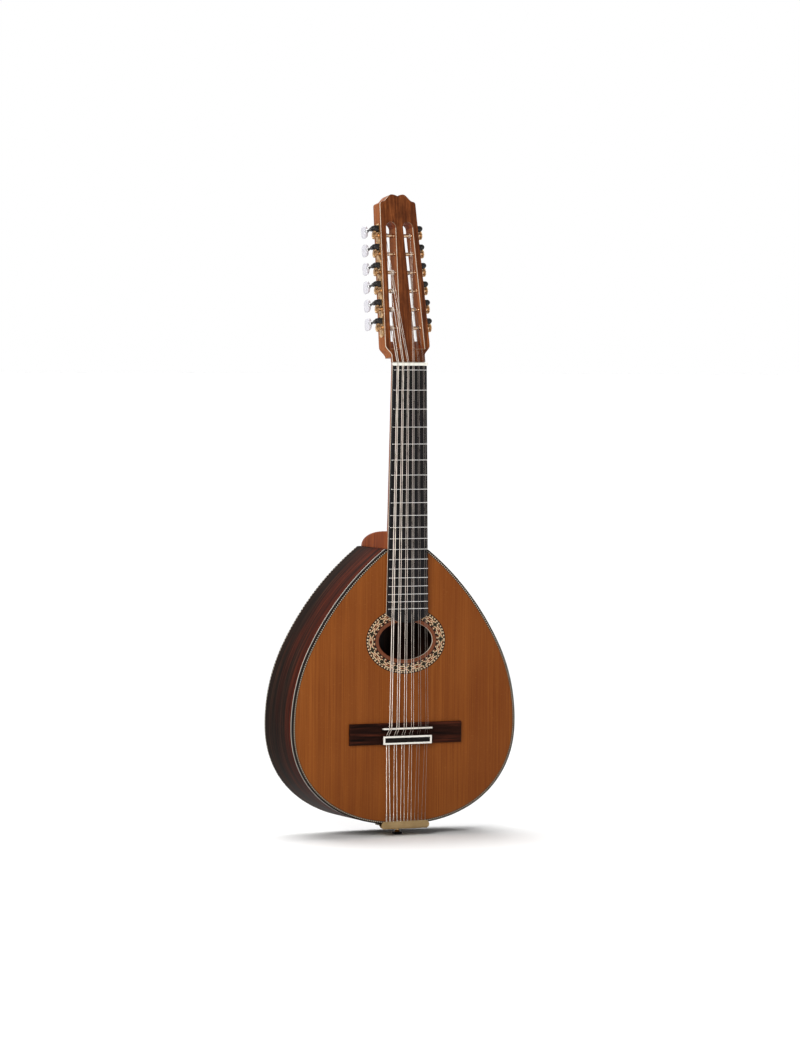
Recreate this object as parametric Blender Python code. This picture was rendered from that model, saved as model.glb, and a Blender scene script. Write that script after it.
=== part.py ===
# A laud: a flat-backed, pear-shaped lute with six pairs of steel strings and a slotted head.
#
# The sizes below are drawn from the zero fret: x across, y back from the soundboard's face,
# z up towards the head, so a place "down" the string has z = -down. One empty carries the whole
# drawing to the part's own origin, which is the middle of the neck's throat under the head's
# shoulders, where a hanger's yoke holds it. The head has a drawing frame of its own, tilted back.

import math

import bmesh
import bpy
from mathutils import Vector

MM = 0.001
GAP = 0.3 * MM

# Strings and frets
SCALE_LENGTH = 505 * MM
SADDLE_SETBACK = 0.5 * MM
FRETS = 19
JOINT_FRET = 12
FRET_WIDTH = 2.0 * MM
FRET_HEIGHT = 1.0 * MM
COURSES = 6
COURSE_GAUGES = [1.2 * MM, 0.95 * MM, 0.7 * MM, 0.5 * MM, 0.38 * MM, 0.3 * MM]
NUT_EDGE = 4.375 * MM
NUT_PAIR_SPACING = 2.0 * MM
SADDLE_COURSE_SPACING = 11.5 * MM
SADDLE_PAIR_SPACING = 3.5 * MM
TIE_COURSE_SPACING = 12.0 * MM
TIE_PAIR_SPACING = 3.7 * MM
HOOK_EDGE = 6.975 * MM

# Body
BODY_DEPTH = 94 * MM
WIDEST_BELOW_JOINT = 247.5 * MM
LOWER_HALF_WIDTH = 175.5 * MM
JOINT_HALF_WIDTH = 32.2 * MM
BOUT_RADIUS = 240 * MM
SHOULDER_RADIUS = 400 * MM
TAIL_HEIGHT = 142.5 * MM
TAIL_FULLNESS = 2.2
TOP_THICKNESS = 2.5 * MM
BACK_THICKNESS = 2.5 * MM
SIDE_THICKNESS = 2.2 * MM
FRONT_BINDING_HEIGHT = 6.0 * MM
BACK_BINDING_HEIGHT = 3.0 * MM
LINING_WIDTH = 5.0 * MM
LINING_HEIGHT = 12.0 * MM
BLOCK_THICKNESS = 22 * MM
NECK_BLOCK_WIDTH = 56 * MM
TAIL_BLOCK_WIDTH = 70 * MM
BRACE_BELOW_JOINT = 184.5 * MM
BRACE_WIDTH = 6.0 * MM
BRACE_HEIGHT = 14 * MM

# Soundhole and rosette
HOLE_BELOW_JOINT = 129.5 * MM
HOLE_WIDTH = 85 * MM
HOLE_HEIGHT = 54 * MM
ROSETTE_MARGIN = 5.0 * MM
ROSETTE_WIDTH = 15 * MM
ROSETTE_THICKNESS = 1.0 * MM

# Fingerboard and nut
BOARD_WIDTH_ZERO = 52 * MM
BOARD_WIDTH_JOINT = 60.5 * MM
BOARD_THICKNESS = 6.0 * MM
BOARD_PAST_FRETS = 8.5 * MM
BOARD_END_BULGE = 11.5 * MM
NUT_ABOVE_FRET = 6.1 * MM
NUT_LENGTH = 4.5 * MM
NUT_HEIGHT = 9.0 * MM

# Neck and heel
NECK_THICKNESS_NUT = 15 * MM
NECK_THICKNESS_HEEL = 18 * MM
NECK_ROUNDNESS = 2.4
HEEL_ROUNDNESS = 12.0
HEEL_LENGTH = 24.5 * MM
NECK_INSET = 0.5 * MM

# Head, measured along its own tilted face from the nut's upper edge
HEAD_TILT = math.radians(10.3)
HEAD_FACE_DEPTH = -2.2 * MM
HEAD_FACE_VENEER = 2.0 * MM
HEAD_LIGHT_VENEER = 1.0 * MM
HEAD_THICKNESS = 24 * MM
THROAT_LOW = 10 * MM
THROAT_HIGH = 24 * MM
HEAD_WIDE_UP = 30 * MM
HEAD_WIDE_HALF = 34.3 * MM
CORNER_ABOVE_SLOT = 27 * MM
HEAD_CORNER_HALF = 27.7 * MM
HEAD_CORNER_RADIUS = 4.0 * MM
CREST_ABOVE_CORNER = 11.5 * MM
CREST_PEAK_HALF = 9.3 * MM
CREST_NOTCH = 2.4 * MM
CREST_SHELF = 10.2 * MM
CORE_OVERLAP = 4.0 * MM
CORE_BELOW_THROAT = 1.0 * MM
SLOT_WALL = 7.5 * MM
SLOT_WEB_HALF = 5.0 * MM
SLOT_BOTTOM_FACE = 18 * MM
SLOT_BOTTOM_BACK = 35 * MM
SLOT_ABOVE_ROLLER = 18.5 * MM

# Tuning machines, six a side
MACHINES = 6
FIRST_ROLLER_UP = 51 * MM
ROLLER_SPACING = 26.5 * MM
ROLLER_DEPTH = 10 * MM
ROLLER_RADIUS = 3.0 * MM
ROLLER_IN_WEB = 3.0 * MM
PLATE_THICKNESS = 1.2 * MM
PLATE_HEIGHT = 12.5 * MM
PLATE_BEYOND = 14 * MM
GEAR_OUT = 7.2 * MM
GEAR_THICKNESS = 2.0 * MM
GEAR_TEETH = 15
GEAR_PITCH_RADIUS = 5.8 * MM
GEAR_ADDENDUM = 0.5 * MM
GEAR_DEDENDUM = 0.7 * MM
TOOTH_HALF_SHARE = 0.1
WORM_PITCH_RADIUS = 3.4 * MM
WORM_ADDENDUM = 0.5 * MM
WORM_DEDENDUM = 0.7 * MM
WORM_TURNS = 2.0
WORM_END_STEP = 0.2 * MM
WORM_CLEARANCE = 0.1 * MM
THREAD_CREST = math.radians(22)
THREAD_FOOT = math.radians(80)
EAR_GAP = 6.6 * MM
EAR_THICKNESS = 1.2 * MM
EAR_SHORT = 1.0 * MM
EAR_CHAMFER = 0.6 * MM
SHAFT_RADIUS = 1.9 * MM
SHAFT_PAST_EAR = 0.6 * MM
COLLAR_RADIUS = 3.04 * MM
COLLAR_PAST_EAR = 1.6 * MM
COLLAR_LENGTH = 2.4 * MM
COLLAR_SLOPE = 0.8 * MM
BUTTON_DEPTH = 40 * MM
BUTTON_LENGTH = 14 * MM
BUTTON_TALL = 18.8 * MM
BUTTON_THICK = 6.2 * MM
BUTTON_NECK_SHARE = 0.3
BUTTON_CROWN_SHARE = 0.36
# Where each string winds on, out from the head's side, from the lowest roller to the highest
WINDING_OUT = [-11.3 * MM, -13.0 * MM, -14.6 * MM, -16.7 * MM, -9.9 * MM, -9.5 * MM]
WINDING_TURNS = 1.1
WINDING_LOOP_POINTS = 16
WINDING_STEP = 0.45 * MM

# Bridge and saddle
BRIDGE_BEFORE_SADDLE = 7.5 * MM
BRIDGE_LENGTH = 30 * MM
BRIDGE_WIDTH = 176 * MM
BRIDGE_BLOCK_EDGE = 7.9 * MM
BRIDGE_SLOPE = 1.0 * MM
WING_HEIGHT = 4.0 * MM
SADDLE_WALL_HEIGHT = 9.0 * MM
SADDLE_WALL_LENGTH = 2.2 * MM
SADDLE_SLOT_DRAFT = 0.05 * MM
VALLEY_HEIGHT = 4.4 * MM
TIE_BLOCK_LENGTH = 12.3 * MM
TIE_BLOCK_HEIGHT = 8.0 * MM
TIE_HOLE_BELOW = 1.8 * MM
SADDLE_THICKNESS = 2.3 * MM
SADDLE_INSET = 1.5 * MM
SADDLE_CREST = 12 * MM
SADDLE_ROUNDING = 1.0 * MM
SADDLE_FLOOR = 5.0 * MM
FRAME_INSET = 1.8 * MM
FRAME_LEDGE = 0.25 * MM
FRAME_STRIP = 2.5 * MM
FRAME_THICKNESS = 1.5 * MM

# Tailpiece and end pin
TAILPIECE_WIDTH = 75 * MM
TAILPIECE_PROUD = 5.0 * MM
TAILPIECE_RISE = 5.5 * MM
TAILPIECE_DROP = 5.5 * MM
TAILPIECE_SHEET = 1.2 * MM
HOOD_DEPTH = 13 * MM
HOOD_SLANT = 0.6
FLANGE_WIDTH = 30 * MM
FLANGE_DEPTH = 62 * MM
PIN_DEPTH = 21 * MM
PIN_RADIUS = 3.1 * MM
PIN_INNER_RADIUS = 2.48 * MM
PIN_TIP_RADIUS = 5.145 * MM
PIN_HEAD_RADIUS = 7.35 * MM
PIN_HEAD_LENGTH = 4.0 * MM
PIN_HEAD_BEVEL = 1.5 * MM
PIN_DROP = 15.9 * MM
FLANGE_PAST_HEAD = 2.0 * MM

# How far a cutter runs past the faces that it opens, and a string past its nut and its tie block
PAST_FACE = 1.0 * MM
PAST_NUT = 0.2 * MM


def fret_down(number):
    """A fret's place down the string, by the equal-tempered rule."""
    return SCALE_LENGTH * (1 - 2 ** (-number / 12))


# Worked out from the sizes above
JOINT_DOWN = fret_down(JOINT_FRET)
WIDEST_DOWN = JOINT_DOWN + WIDEST_BELOW_JOINT
TAIL_DOWN = WIDEST_DOWN + TAIL_HEIGHT
BRACE_DOWN = JOINT_DOWN + BRACE_BELOW_JOINT
HOLE_DOWN = JOINT_DOWN + HOLE_BELOW_JOINT
BOARD_CORNER_DOWN = fret_down(FRETS) + BOARD_PAST_FRETS
BOARD_TIP_DOWN = BOARD_CORNER_DOWN + BOARD_END_BULGE
SADDLE_DOWN = SCALE_LENGTH + SADDLE_SETBACK
BRIDGE_DOWN = SADDLE_DOWN - BRIDGE_BEFORE_SADDLE
BRIDGE_BLOCK_WIDTH = (COURSES - 1) * TIE_COURSE_SPACING + TIE_PAIR_SPACING + 2 * BRIDGE_BLOCK_EDGE
TIE_HOLE_HEIGHT = TIE_BLOCK_HEIGHT - TIE_HOLE_BELOW
NUT_COURSE_SPACING = (BOARD_WIDTH_ZERO - 2 * NUT_EDGE - NUT_PAIR_SPACING) / (COURSES - 1)
HOOK_SPACING = (TAILPIECE_WIDTH - 2 * HOOK_EDGE) / (2 * COURSES - 1)
TAILPIECE_TOP = TAIL_DOWN - TAILPIECE_RISE
FLANGE_BOTTOM = TAIL_DOWN + GAP + TAILPIECE_SHEET
FRET_TOP = BOARD_THICKNESS + FRET_HEIGHT
NUT_TOP_UP = NUT_ABOVE_FRET + NUT_LENGTH
HEAD_CORE_DEPTH = HEAD_FACE_VENEER + HEAD_LIGHT_VENEER + 2 * GAP
SLOT_TOP = FIRST_ROLLER_UP + (MACHINES - 1) * ROLLER_SPACING + SLOT_ABOVE_ROLLER
HEAD_CORNER_UP = SLOT_TOP + CORNER_ABOVE_SLOT
CREST_PEAK_UP = HEAD_CORNER_UP + CREST_ABOVE_CORNER
SIDE_TAPER = math.atan2(HEAD_WIDE_HALF - HEAD_CORNER_HALF, HEAD_CORNER_UP - HEAD_WIDE_UP)
SLOT_WIDTH = HEAD_WIDE_HALF - (SLOT_TOP - HEAD_WIDE_UP) * math.tan(SIDE_TAPER) - SLOT_WALL - SLOT_WEB_HALF
WORM_ABOVE_ROLLER = GEAR_PITCH_RADIUS + WORM_PITCH_RADIUS + WORM_CLEARANCE
WORM_LEAD = 2 * math.pi * GEAR_PITCH_RADIUS / GEAR_TEETH
THROAT_UP = NUT_TOP_UP + THROAT_LOW * math.cos(HEAD_TILT)
THROAT_DEPTH = 8 * MM
RIM_INSET = SIDE_THICKNESS + GAP
INNER_INSET = RIM_INSET + LINING_WIDTH


def material(name, colour, roughness, metallic=0.0):
    """A plain material in the part's colour."""
    made = bpy.data.materials.new(name)
    made.use_nodes = True
    shader = made.node_tree.nodes["Principled BSDF"]
    shader.inputs["Base Color"].default_value = (*colour, 1.0)
    shader.inputs["Roughness"].default_value = roughness
    shader.inputs["Metallic"].default_value = metallic
    made.diffuse_color = (*colour, 1.0)
    return made


def empty(name, parent=None, location=(0, 0, 0), rotation=(0, 0, 0)):
    """A frame to hang pieces on."""
    frame = bpy.data.objects.new(name, None)
    frame.empty_display_size = 0.01
    frame.location = location
    frame.rotation_euler = rotation
    frame.parent = parent
    bpy.context.scene.collection.objects.link(frame)
    return frame


def solid(name, points, faces, finish, parent, smooth=False):
    """A mesh object from points and faces, with its faces turned outwards."""
    mesh = bpy.data.meshes.new(name)
    shape = bmesh.new()
    vertices = [shape.verts.new(point) for point in points]
    for face in faces:
        shape.faces.new([vertices[i] for i in face])
    bmesh.ops.recalc_face_normals(shape, faces=shape.faces)
    if shape.calc_volume(signed=True) < 0:
        bmesh.ops.reverse_faces(shape, faces=shape.faces)
    shape.to_mesh(mesh)
    shape.free()
    made = bpy.data.objects.new(name, mesh)
    made.parent = parent
    bpy.context.scene.collection.objects.link(made)
    if finish is None:
        made.hide_render = True
        made.display_type = "WIRE"
    else:
        mesh.materials.append(finish)
    if smooth:
        mesh.shade_smooth()
        mesh.set_sharp_from_angle(angle=math.radians(35))
    return made


def loft(name, rings, finish, parent, closed=False, smooth=False):
    """A skin over rings of points. Its two ends are capped, or joined to each other if closed."""
    size = len(rings[0])
    points = [point for ring in rings for point in ring]
    faces = []
    for i in range(len(rings) if closed else len(rings) - 1):
        this, following = i * size, (i + 1) % len(rings) * size
        for j in range(size):
            k = (j + 1) % size
            faces.append((this + j, this + k, following + k, following + j))
    if not closed:
        faces.append(tuple(range(size)))
        faces.append(tuple(range(len(points) - size, len(points))))
    return solid(name, points, faces, finish, parent, smooth)


def plate(name, outline, front, back, finish, parent):
    """An outline of x and z made thick from the depth front to the depth back."""
    rings = [[(x, depth, z) for x, z in outline] for depth in (front, back)]
    return loft(name, rings, finish, parent)


def hoop(name, outer, inner, front, back, finish, parent):
    """The closed band between two outlines of x and z that have as many points."""
    rings = [
        [(xo, front, zo), (xo, back, zo), (xi, back, zi), (xi, front, zi)]
        for (xo, zo), (xi, zi) in zip(outer, inner)
    ]
    return loft(name, rings, finish, parent, closed=True)


def cylinders(name, ends, radius, parent, sides=10):
    """One hidden cutter of several rods, each between two points, round which a rod of the radius fits."""
    points, faces = [], []
    reach = radius / math.cos(math.pi / sides)
    for low, high in ends:
        low, high = Vector(low), Vector(high)
        turn = (high - low).to_track_quat("Z", "Y")
        start = len(points)
        for end in (low, high):
            for i in range(sides):
                angle = 2 * math.pi * i / sides
                spot = Vector((reach * math.cos(angle), reach * math.sin(angle), 0))
                points.append(end + turn @ spot)
        for i in range(sides):
            j = (i + 1) % sides
            faces.append((start + i, start + j, start + sides + j, start + sides + i))
        faces.append(tuple(range(start + sides - 1, start - 1, -1)))
        faces.append(tuple(range(start + sides, start + 2 * sides)))
    return solid(name, points, faces, None, parent)


def combine(target, other, operation="DIFFERENCE"):
    """Cut another solid away from the target, or join it on."""
    step = target.modifiers.new(other.name, "BOOLEAN")
    step.operation = operation
    step.solver = "EXACT"
    step.object = other


def ease(t):
    """A smooth step from 0 to 1."""
    return t * t * (3 - 2 * t)


def pair_places(course_spacing, pair_spacing):
    """Where the strings cross, from the lowest course on the left to the highest."""
    middle = (COURSES - 1) / 2
    return [
        (course - middle) * course_spacing + side * pair_spacing / 2
        for course in range(COURSES)
        for side in (-1, 1)
    ]


def board_half_width(down):
    """Half the fingerboard's width at a place down the string."""
    slope = (BOARD_WIDTH_JOINT - BOARD_WIDTH_ZERO) / JOINT_DOWN
    return (BOARD_WIDTH_ZERO + slope * down) / 2


def bout_arc():
    """The bout's angle up from the widest place to where the shoulder's arc takes over.

    The two arcs are tangent there, and the shoulder's arc ends at the neck joint's half width.
    """
    across = JOINT_HALF_WIDTH - LOWER_HALF_WIDTH + BOUT_RADIUS
    distance = math.hypot(across, WIDEST_BELOW_JOINT)
    offset = SHOULDER_RADIUS - BOUT_RADIUS
    reach = (SHOULDER_RADIUS**2 - offset**2 - distance**2) / (2 * offset)
    return math.atan2(WIDEST_BELOW_JOINT, across) - math.acos(reach / distance)


def body_half_outline(inset=0.0):
    """The right half of the body's outline, from the neck joint down to the tail, drawn in by inset."""
    arc = bout_arc()
    bout_x = LOWER_HALF_WIDTH - BOUT_RADIUS
    shoulder_x = bout_x - (SHOULDER_RADIUS - BOUT_RADIUS) * math.cos(arc)
    shoulder_z = -WIDEST_DOWN - (SHOULDER_RADIUS - BOUT_RADIUS) * math.sin(arc)
    top = -JOINT_DOWN - inset
    start = math.asin((top - shoulder_z) / (SHOULDER_RADIUS - inset))
    points = []
    for i in range(5):
        angle = start + (arc - start) * i / 5
        reach = SHOULDER_RADIUS - inset
        points.append((shoulder_x + reach * math.cos(angle), shoulder_z + reach * math.sin(angle)))
    for i in range(4):
        angle = arc * (1 - i / 4)
        reach = BOUT_RADIUS - inset
        points.append((bout_x + reach * math.cos(angle), -WIDEST_DOWN + reach * math.sin(angle)))
    for i in range(12):
        angle = math.pi / 2 * i / 11
        power = 2 / TAIL_FULLNESS
        across = max(math.cos(angle), 0.0) ** power if i < 11 else 0.0
        down = math.sin(angle) ** power
        lean = Vector(
            (
                across ** (TAIL_FULLNESS - 1) / LOWER_HALF_WIDTH,
                down ** (TAIL_FULLNESS - 1) / TAIL_HEIGHT,
            )
        ).normalized()
        points.append(
            (
                LOWER_HALF_WIDTH * across - inset * lean.x,
                -WIDEST_DOWN - TAIL_HEIGHT * down + inset * lean.y,
            )
        )
    return points


def body_outline(inset=0.0):
    """The whole outline, round from the neck joint's right corner to its left one."""
    half = body_half_outline(inset)
    return half + [(-x, z) for x, z in reversed(half[:-1])]


def body_half_width(down, inset=0.0):
    """Half the body's width across one place above its widest."""
    half = body_half_outline(inset)
    for (x0, z0), (x1, z1) in zip(half, half[1:]):
        if z1 <= -down <= z0:
            return x0 + (x1 - x0) * (z0 + down) / (z0 - z1)
    return 0.0


def oval(growth, count=32):
    """The soundhole's outline, grown all round."""
    across = HOLE_WIDTH / 2 + growth
    up = HOLE_HEIGHT / 2 + growth
    turns = [2 * math.pi * i / count for i in range(count)]
    return [(across * math.cos(t), up * math.sin(t) - HOLE_DOWN) for t in turns]


def rectangle(left, right, low, high):
    """A rectangle's corners."""
    return [(left, low), (right, low), (right, high), (left, high)]


def turned(name, axis_profile, sides, finish, parent, place):
    """A turned piece: rings of the profile's radius at its heights, seated by the place function."""
    rings = []
    for height, radius in axis_profile:
        ring = []
        for i in range(sides):
            angle = 2 * math.pi * i / sides
            ring.append(place(radius * math.cos(angle), radius * math.sin(angle), height))
        rings.append(ring)
    return loft(name, rings, finish, parent, smooth=True)


def make_shell(frame, looks):
    """Soundboard, rosette, back, sides, bindings, linings, blocks and brace."""
    inside = body_outline(RIM_INSET)
    top = plate("soundboard", inside, 0, TOP_THICKNESS, looks["cedar"], frame)
    hole = plate("soundhole_cutter", oval(0), -TOP_THICKNESS, 2 * TOP_THICKNESS, None, frame)
    combine(top, hole)
    outer = oval(ROSETTE_MARGIN + ROSETTE_WIDTH)
    inner = oval(ROSETTE_MARGIN)
    channel = hoop(
        "rosette_cutter",
        oval(ROSETTE_MARGIN + ROSETTE_WIDTH + GAP),
        oval(ROSETTE_MARGIN - GAP),
        -TOP_THICKNESS,
        ROSETTE_THICKNESS + GAP,
        None,
        frame,
    )
    combine(top, channel)
    hoop("rosette", outer, inner, 0, ROSETTE_THICKNESS, looks["mosaic"], frame)

    back_face = BODY_DEPTH - BACK_THICKNESS
    plate("back", inside, back_face, BODY_DEPTH, looks["rosewood"], frame)

    rim = body_outline()
    wall = body_outline(SIDE_THICKNESS)
    front_edge = FRONT_BINDING_HEIGHT
    back_edge = BODY_DEPTH - BACK_BINDING_HEIGHT
    hoop("front_binding", rim, wall, 0, front_edge, looks["binding"], frame)
    hoop("back_binding", rim, wall, back_edge, BODY_DEPTH, looks["binding"], frame)

    outside = (0, PIN_DEPTH, -TAIL_DOWN - BLOCK_THICKNESS)
    within = (0, PIN_DEPTH, -TAIL_DOWN + 2 * BLOCK_THICKNESS)
    pin_hole = cylinders("pin_cutter", [(outside, within)], PIN_RADIUS + GAP, frame, sides=12)
    outside_half = body_half_outline()
    inside_half = body_half_outline(SIDE_THICKNESS)
    block_edge = NECK_BLOCK_WIDTH / 2 + GAP
    for name, side in (("side_left", -1), ("side_right", 1)):
        stations = [((block_edge, -JOINT_DOWN), (block_edge, -JOINT_DOWN - SIDE_THICKNESS))]
        stations += list(zip(outside_half, inside_half))
        stations[-1] = ((GAP / 2, outside_half[-1][1]), (GAP / 2, inside_half[-1][1]))
        rings = [
            [
                (side * xo, front_edge + GAP, zo),
                (side * xo, back_edge - GAP, zo),
                (side * xi, back_edge - GAP, zi),
                (side * xi, front_edge + GAP, zi),
            ]
            for (xo, zo), (xi, zi) in stations
        ]
        piece = loft(name, rings, looks["rosewood"], frame)
        combine(piece, pin_hole)

    lining_outer = body_outline(RIM_INSET)
    lining_inner = body_outline(INNER_INSET)
    front_lining = TOP_THICKNESS + GAP
    back_lining = back_face - GAP
    lining_end = front_lining + LINING_HEIGHT
    lining_start = back_lining - LINING_HEIGHT
    hoop("front_lining", lining_outer, lining_inner, front_lining, lining_end, looks["cedar"], frame)
    hoop("back_lining", lining_outer, lining_inner, lining_start, back_lining, looks["cedar"], frame)

    half_block = NECK_BLOCK_WIDTH / 2
    neck_block = rectangle(-half_block, half_block, -JOINT_DOWN - BLOCK_THICKNESS, -JOINT_DOWN)
    block_front = lining_end + GAP
    block_back = lining_start - GAP
    plate("neck_block", neck_block, block_front, block_back, looks["mahogany"], frame)

    half_tail = TAIL_BLOCK_WIDTH / 2
    rim_half = body_half_outline(RIM_INSET)
    before = max((x, z) for x, z in rim_half if x < half_tail and z < -WIDEST_DOWN)
    after = min((x, z) for x, z in rim_half if x >= half_tail and z < -WIDEST_DOWN)
    corner = before[1] + (after[1] - before[1]) * (half_tail - before[0]) / (after[0] - before[0])
    curve = [(half_tail, corner)]
    curve += [(x, z) for x, z in rim_half if x < half_tail and z < -WIDEST_DOWN]
    tail_block = curve + [(-x, z) for x, z in reversed(curve[:-1])]
    tail_block += [(-half_tail, corner + BLOCK_THICKNESS), (half_tail, corner + BLOCK_THICKNESS)]
    block = plate("tail_block", tail_block, block_front, block_back, looks["mahogany"], frame)
    combine(block, pin_hole)

    reach = body_half_width(BRACE_DOWN - BRACE_WIDTH / 2, INNER_INSET) - GAP
    low, high = -BRACE_DOWN - BRACE_WIDTH / 2, -BRACE_DOWN + BRACE_WIDTH / 2
    brace = rectangle(-reach, reach, low, high)
    plate("top_brace", brace, front_lining, front_lining + BRACE_HEIGHT, looks["cedar"], frame)
    return pin_hole


def make_fingerboard(frame, looks):
    """The ebony board with its frets, and the nut that spaces the strings above the zero fret."""
    bottom = -GAP
    top = -BOARD_THICKNESS
    crest = -FRET_TOP
    stations = [(-NUT_ABOVE_FRET + GAP, top)]
    for number in range(FRETS + 1):
        down = fret_down(number)
        stations.append((down - FRET_WIDTH / 2, top))
        stations.append((down - FRET_WIDTH / 4, crest))
        stations.append((down + FRET_WIDTH / 4, crest))
        stations.append((down + FRET_WIDTH / 2, top))
    stations.append((BOARD_TIP_DOWN + FRET_WIDTH, top))
    rings = []
    for down, height in stations:
        half = board_half_width(down)
        edges = [(-half, height), (half, height), (half, bottom), (-half, bottom)]
        rings.append([(x, y, -down) for x, y in edges])
    board = loft("fingerboard", rings, looks["ebony"], frame)

    half = board_half_width(BOARD_CORNER_DOWN)
    sagitta = BOARD_TIP_DOWN - BOARD_CORNER_DOWN
    radius = (half * half + sagitta * sagitta) / (2 * sagitta)
    spread = math.asin(half / radius)
    arc = []
    for i in range(9):
        angle = -spread + 2 * spread * i / 8
        arc.append((radius * math.sin(angle), radius * (1 - math.cos(angle)) - BOARD_TIP_DOWN))
    far = 2 * half
    outline = arc + [(far, -BOARD_CORNER_DOWN), (far, -BOARD_TIP_DOWN - half)]
    outline += [(-far, -BOARD_TIP_DOWN - half), (-far, -BOARD_CORNER_DOWN)]
    end = plate("board_end_cutter", outline, -2 * FRET_TOP, FRET_TOP, None, frame)
    combine(board, end)

    half = BOARD_WIDTH_ZERO / 2
    comb = [(-half, -GAP), (-half, -NUT_HEIGHT)]
    places = pair_places(NUT_COURSE_SPACING, NUT_PAIR_SPACING)
    for index, place in enumerate(places):
        reach = COURSE_GAUGES[index // 2] / 2 + GAP
        comb += [(place - reach, -NUT_HEIGHT), (place - reach, -FRET_TOP)]
        comb += [(place + reach, -FRET_TOP), (place + reach, -NUT_HEIGHT)]
    comb += [(half, -NUT_HEIGHT), (half, -GAP)]
    rings = [[(x, y, z) for x, y in comb] for z in (NUT_ABOVE_FRET, NUT_TOP_UP - GAP)]
    loft("nut", rings, looks["bone"], frame)


def neck_section(half_width, thickness, roundness, count=9):
    """A D-shaped section: flat in front, round behind, as across and depth."""
    points = []
    for i in range(count):
        angle = math.pi * i / (count - 1)
        cosine = math.cos(angle)
        sine = math.sin(angle) if 0 < i < count - 1 else 0.0
        across = math.copysign(abs(cosine) ** (2 / roundness), cosine)
        points.append((half_width * across, thickness * sine ** (2 / roundness)))
    return points


def head_point(across, depth, up):
    """A place in the head's tilted frame, given in the drawing's frame."""
    y = HEAD_FACE_DEPTH + depth * math.cos(HEAD_TILT) + up * math.sin(HEAD_TILT)
    z = NUT_TOP_UP - depth * math.sin(HEAD_TILT) + up * math.cos(HEAD_TILT)
    return (across, y, z)


def head_outline(bottom, throat_half):
    """The head's outline: throat, shoulders, tapering sides, and a crest of two lobes."""
    half = [(throat_half, bottom)]
    for i in range(7):
        up = THROAT_LOW + (THROAT_HIGH - THROAT_LOW) * i / 6
        half.append((throat_half + (HEAD_WIDE_HALF - throat_half) * ease(i / 6), up))
    half.append((HEAD_WIDE_HALF, HEAD_WIDE_UP))
    corner_x = HEAD_CORNER_HALF - HEAD_CORNER_RADIUS
    shelf = CREST_PEAK_UP - CREST_SHELF
    for i in range(4):
        angle = math.pi / 2 * i / 3
        across = corner_x + HEAD_CORNER_RADIUS * math.cos(angle)
        half.append((across, shelf - HEAD_CORNER_RADIUS * (1 - math.sin(angle))))
    for i in range(1, 7):
        across = corner_x + (CREST_PEAK_HALF - corner_x) * i / 6
        half.append((across, shelf + CREST_SHELF * ease(i / 6)))
    for i in range(1, 4):
        part = i / 3
        half.append((CREST_PEAK_HALF * (1 - part), CREST_PEAK_UP - CREST_NOTCH * part * part))
    return half + [(-x, z) for x, z in reversed(half[:-1])]


def make_neck(frame, head, looks, cutters):
    """The mahogany neck, with its heel and the head's core, and the two veneers on the head's face."""
    rings = []
    heel_down = JOINT_DOWN - HEEL_LENGTH
    shaft_start = GAP - NUT_TOP_UP
    for i in range(5):
        down = shaft_start + (heel_down - shaft_start) * i / 4
        thickness = NECK_THICKNESS_NUT + (NECK_THICKNESS_HEEL - NECK_THICKNESS_NUT) * i / 4
        section = neck_section(board_half_width(down) - NECK_INSET, thickness, NECK_ROUNDNESS)
        rings.append([(x, y, -down) for x, y in section])
    for i in range(1, 8):
        angle = math.pi / 2 * i / 7
        down = JOINT_DOWN - GAP - HEEL_LENGTH * math.cos(angle) * (1 - GAP / HEEL_LENGTH)
        thickness = NECK_THICKNESS_HEEL + (BODY_DEPTH - NECK_THICKNESS_HEEL) * math.sin(angle)
        roundness = NECK_ROUNDNESS + (HEEL_ROUNDNESS - NECK_ROUNDNESS) * math.sin(angle)
        section = neck_section(board_half_width(down) - NECK_INSET, thickness, roundness)
        rings.append([(x, y, -down) for x, y in section])
    throat_half = BOARD_WIDTH_ZERO / 2 - NECK_INSET
    inner_half = throat_half - NECK_INSET
    sunk = HEAD_CORE_DEPTH + NECK_INSET
    section = neck_section(inner_half, NECK_THICKNESS_HEEL - HEAD_CORE_DEPTH, NECK_ROUNDNESS)
    throat_up = THROAT_LOW + CORE_OVERLAP
    throat = [head_point(x, sunk + y, throat_up) for x, y in section]
    ledge = HEAD_FACE_DEPTH + HEAD_CORE_DEPTH / math.cos(HEAD_TILT)
    section = neck_section(throat_half, NECK_THICKNESS_NUT - ledge, NECK_ROUNDNESS)
    step = [(x, ledge + y, NUT_TOP_UP) for x, y in section]
    neck = loft("neck", [throat, step] + rings, looks["mahogany"], frame, smooth=True)

    core_outline = head_outline(THROAT_LOW - CORE_BELOW_THROAT, throat_half)
    core = plate("head_core_joiner", core_outline, HEAD_CORE_DEPTH, HEAD_THICKNESS, None, head)
    combine(neck, core, "UNION")
    face_outline = head_outline(HEAD_CORE_DEPTH * math.tan(HEAD_TILT) + GAP, throat_half)
    light_start = HEAD_FACE_VENEER + GAP
    light_end = light_start + HEAD_LIGHT_VENEER
    face = plate("head_face", face_outline, 0, HEAD_FACE_VENEER, looks["rosewood"], head)
    light = plate("head_veneer", face_outline, light_start, light_end, looks["maple"], head)
    for piece in (neck, face, light):
        for cutter in cutters["slots"]:
            combine(piece, cutter)
    combine(neck, cutters["bores"])


def side_frame(head, side):
    """The frame of one of the head's tapering sides: x out from it, y back, z along it."""
    return empty(
        "head_side_right" if side > 0 else "head_side_left",
        head,
        (side * HEAD_WIDE_HALF, 0, HEAD_WIDE_UP),
        (0, -side * SIDE_TAPER, 0),
    )


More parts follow.
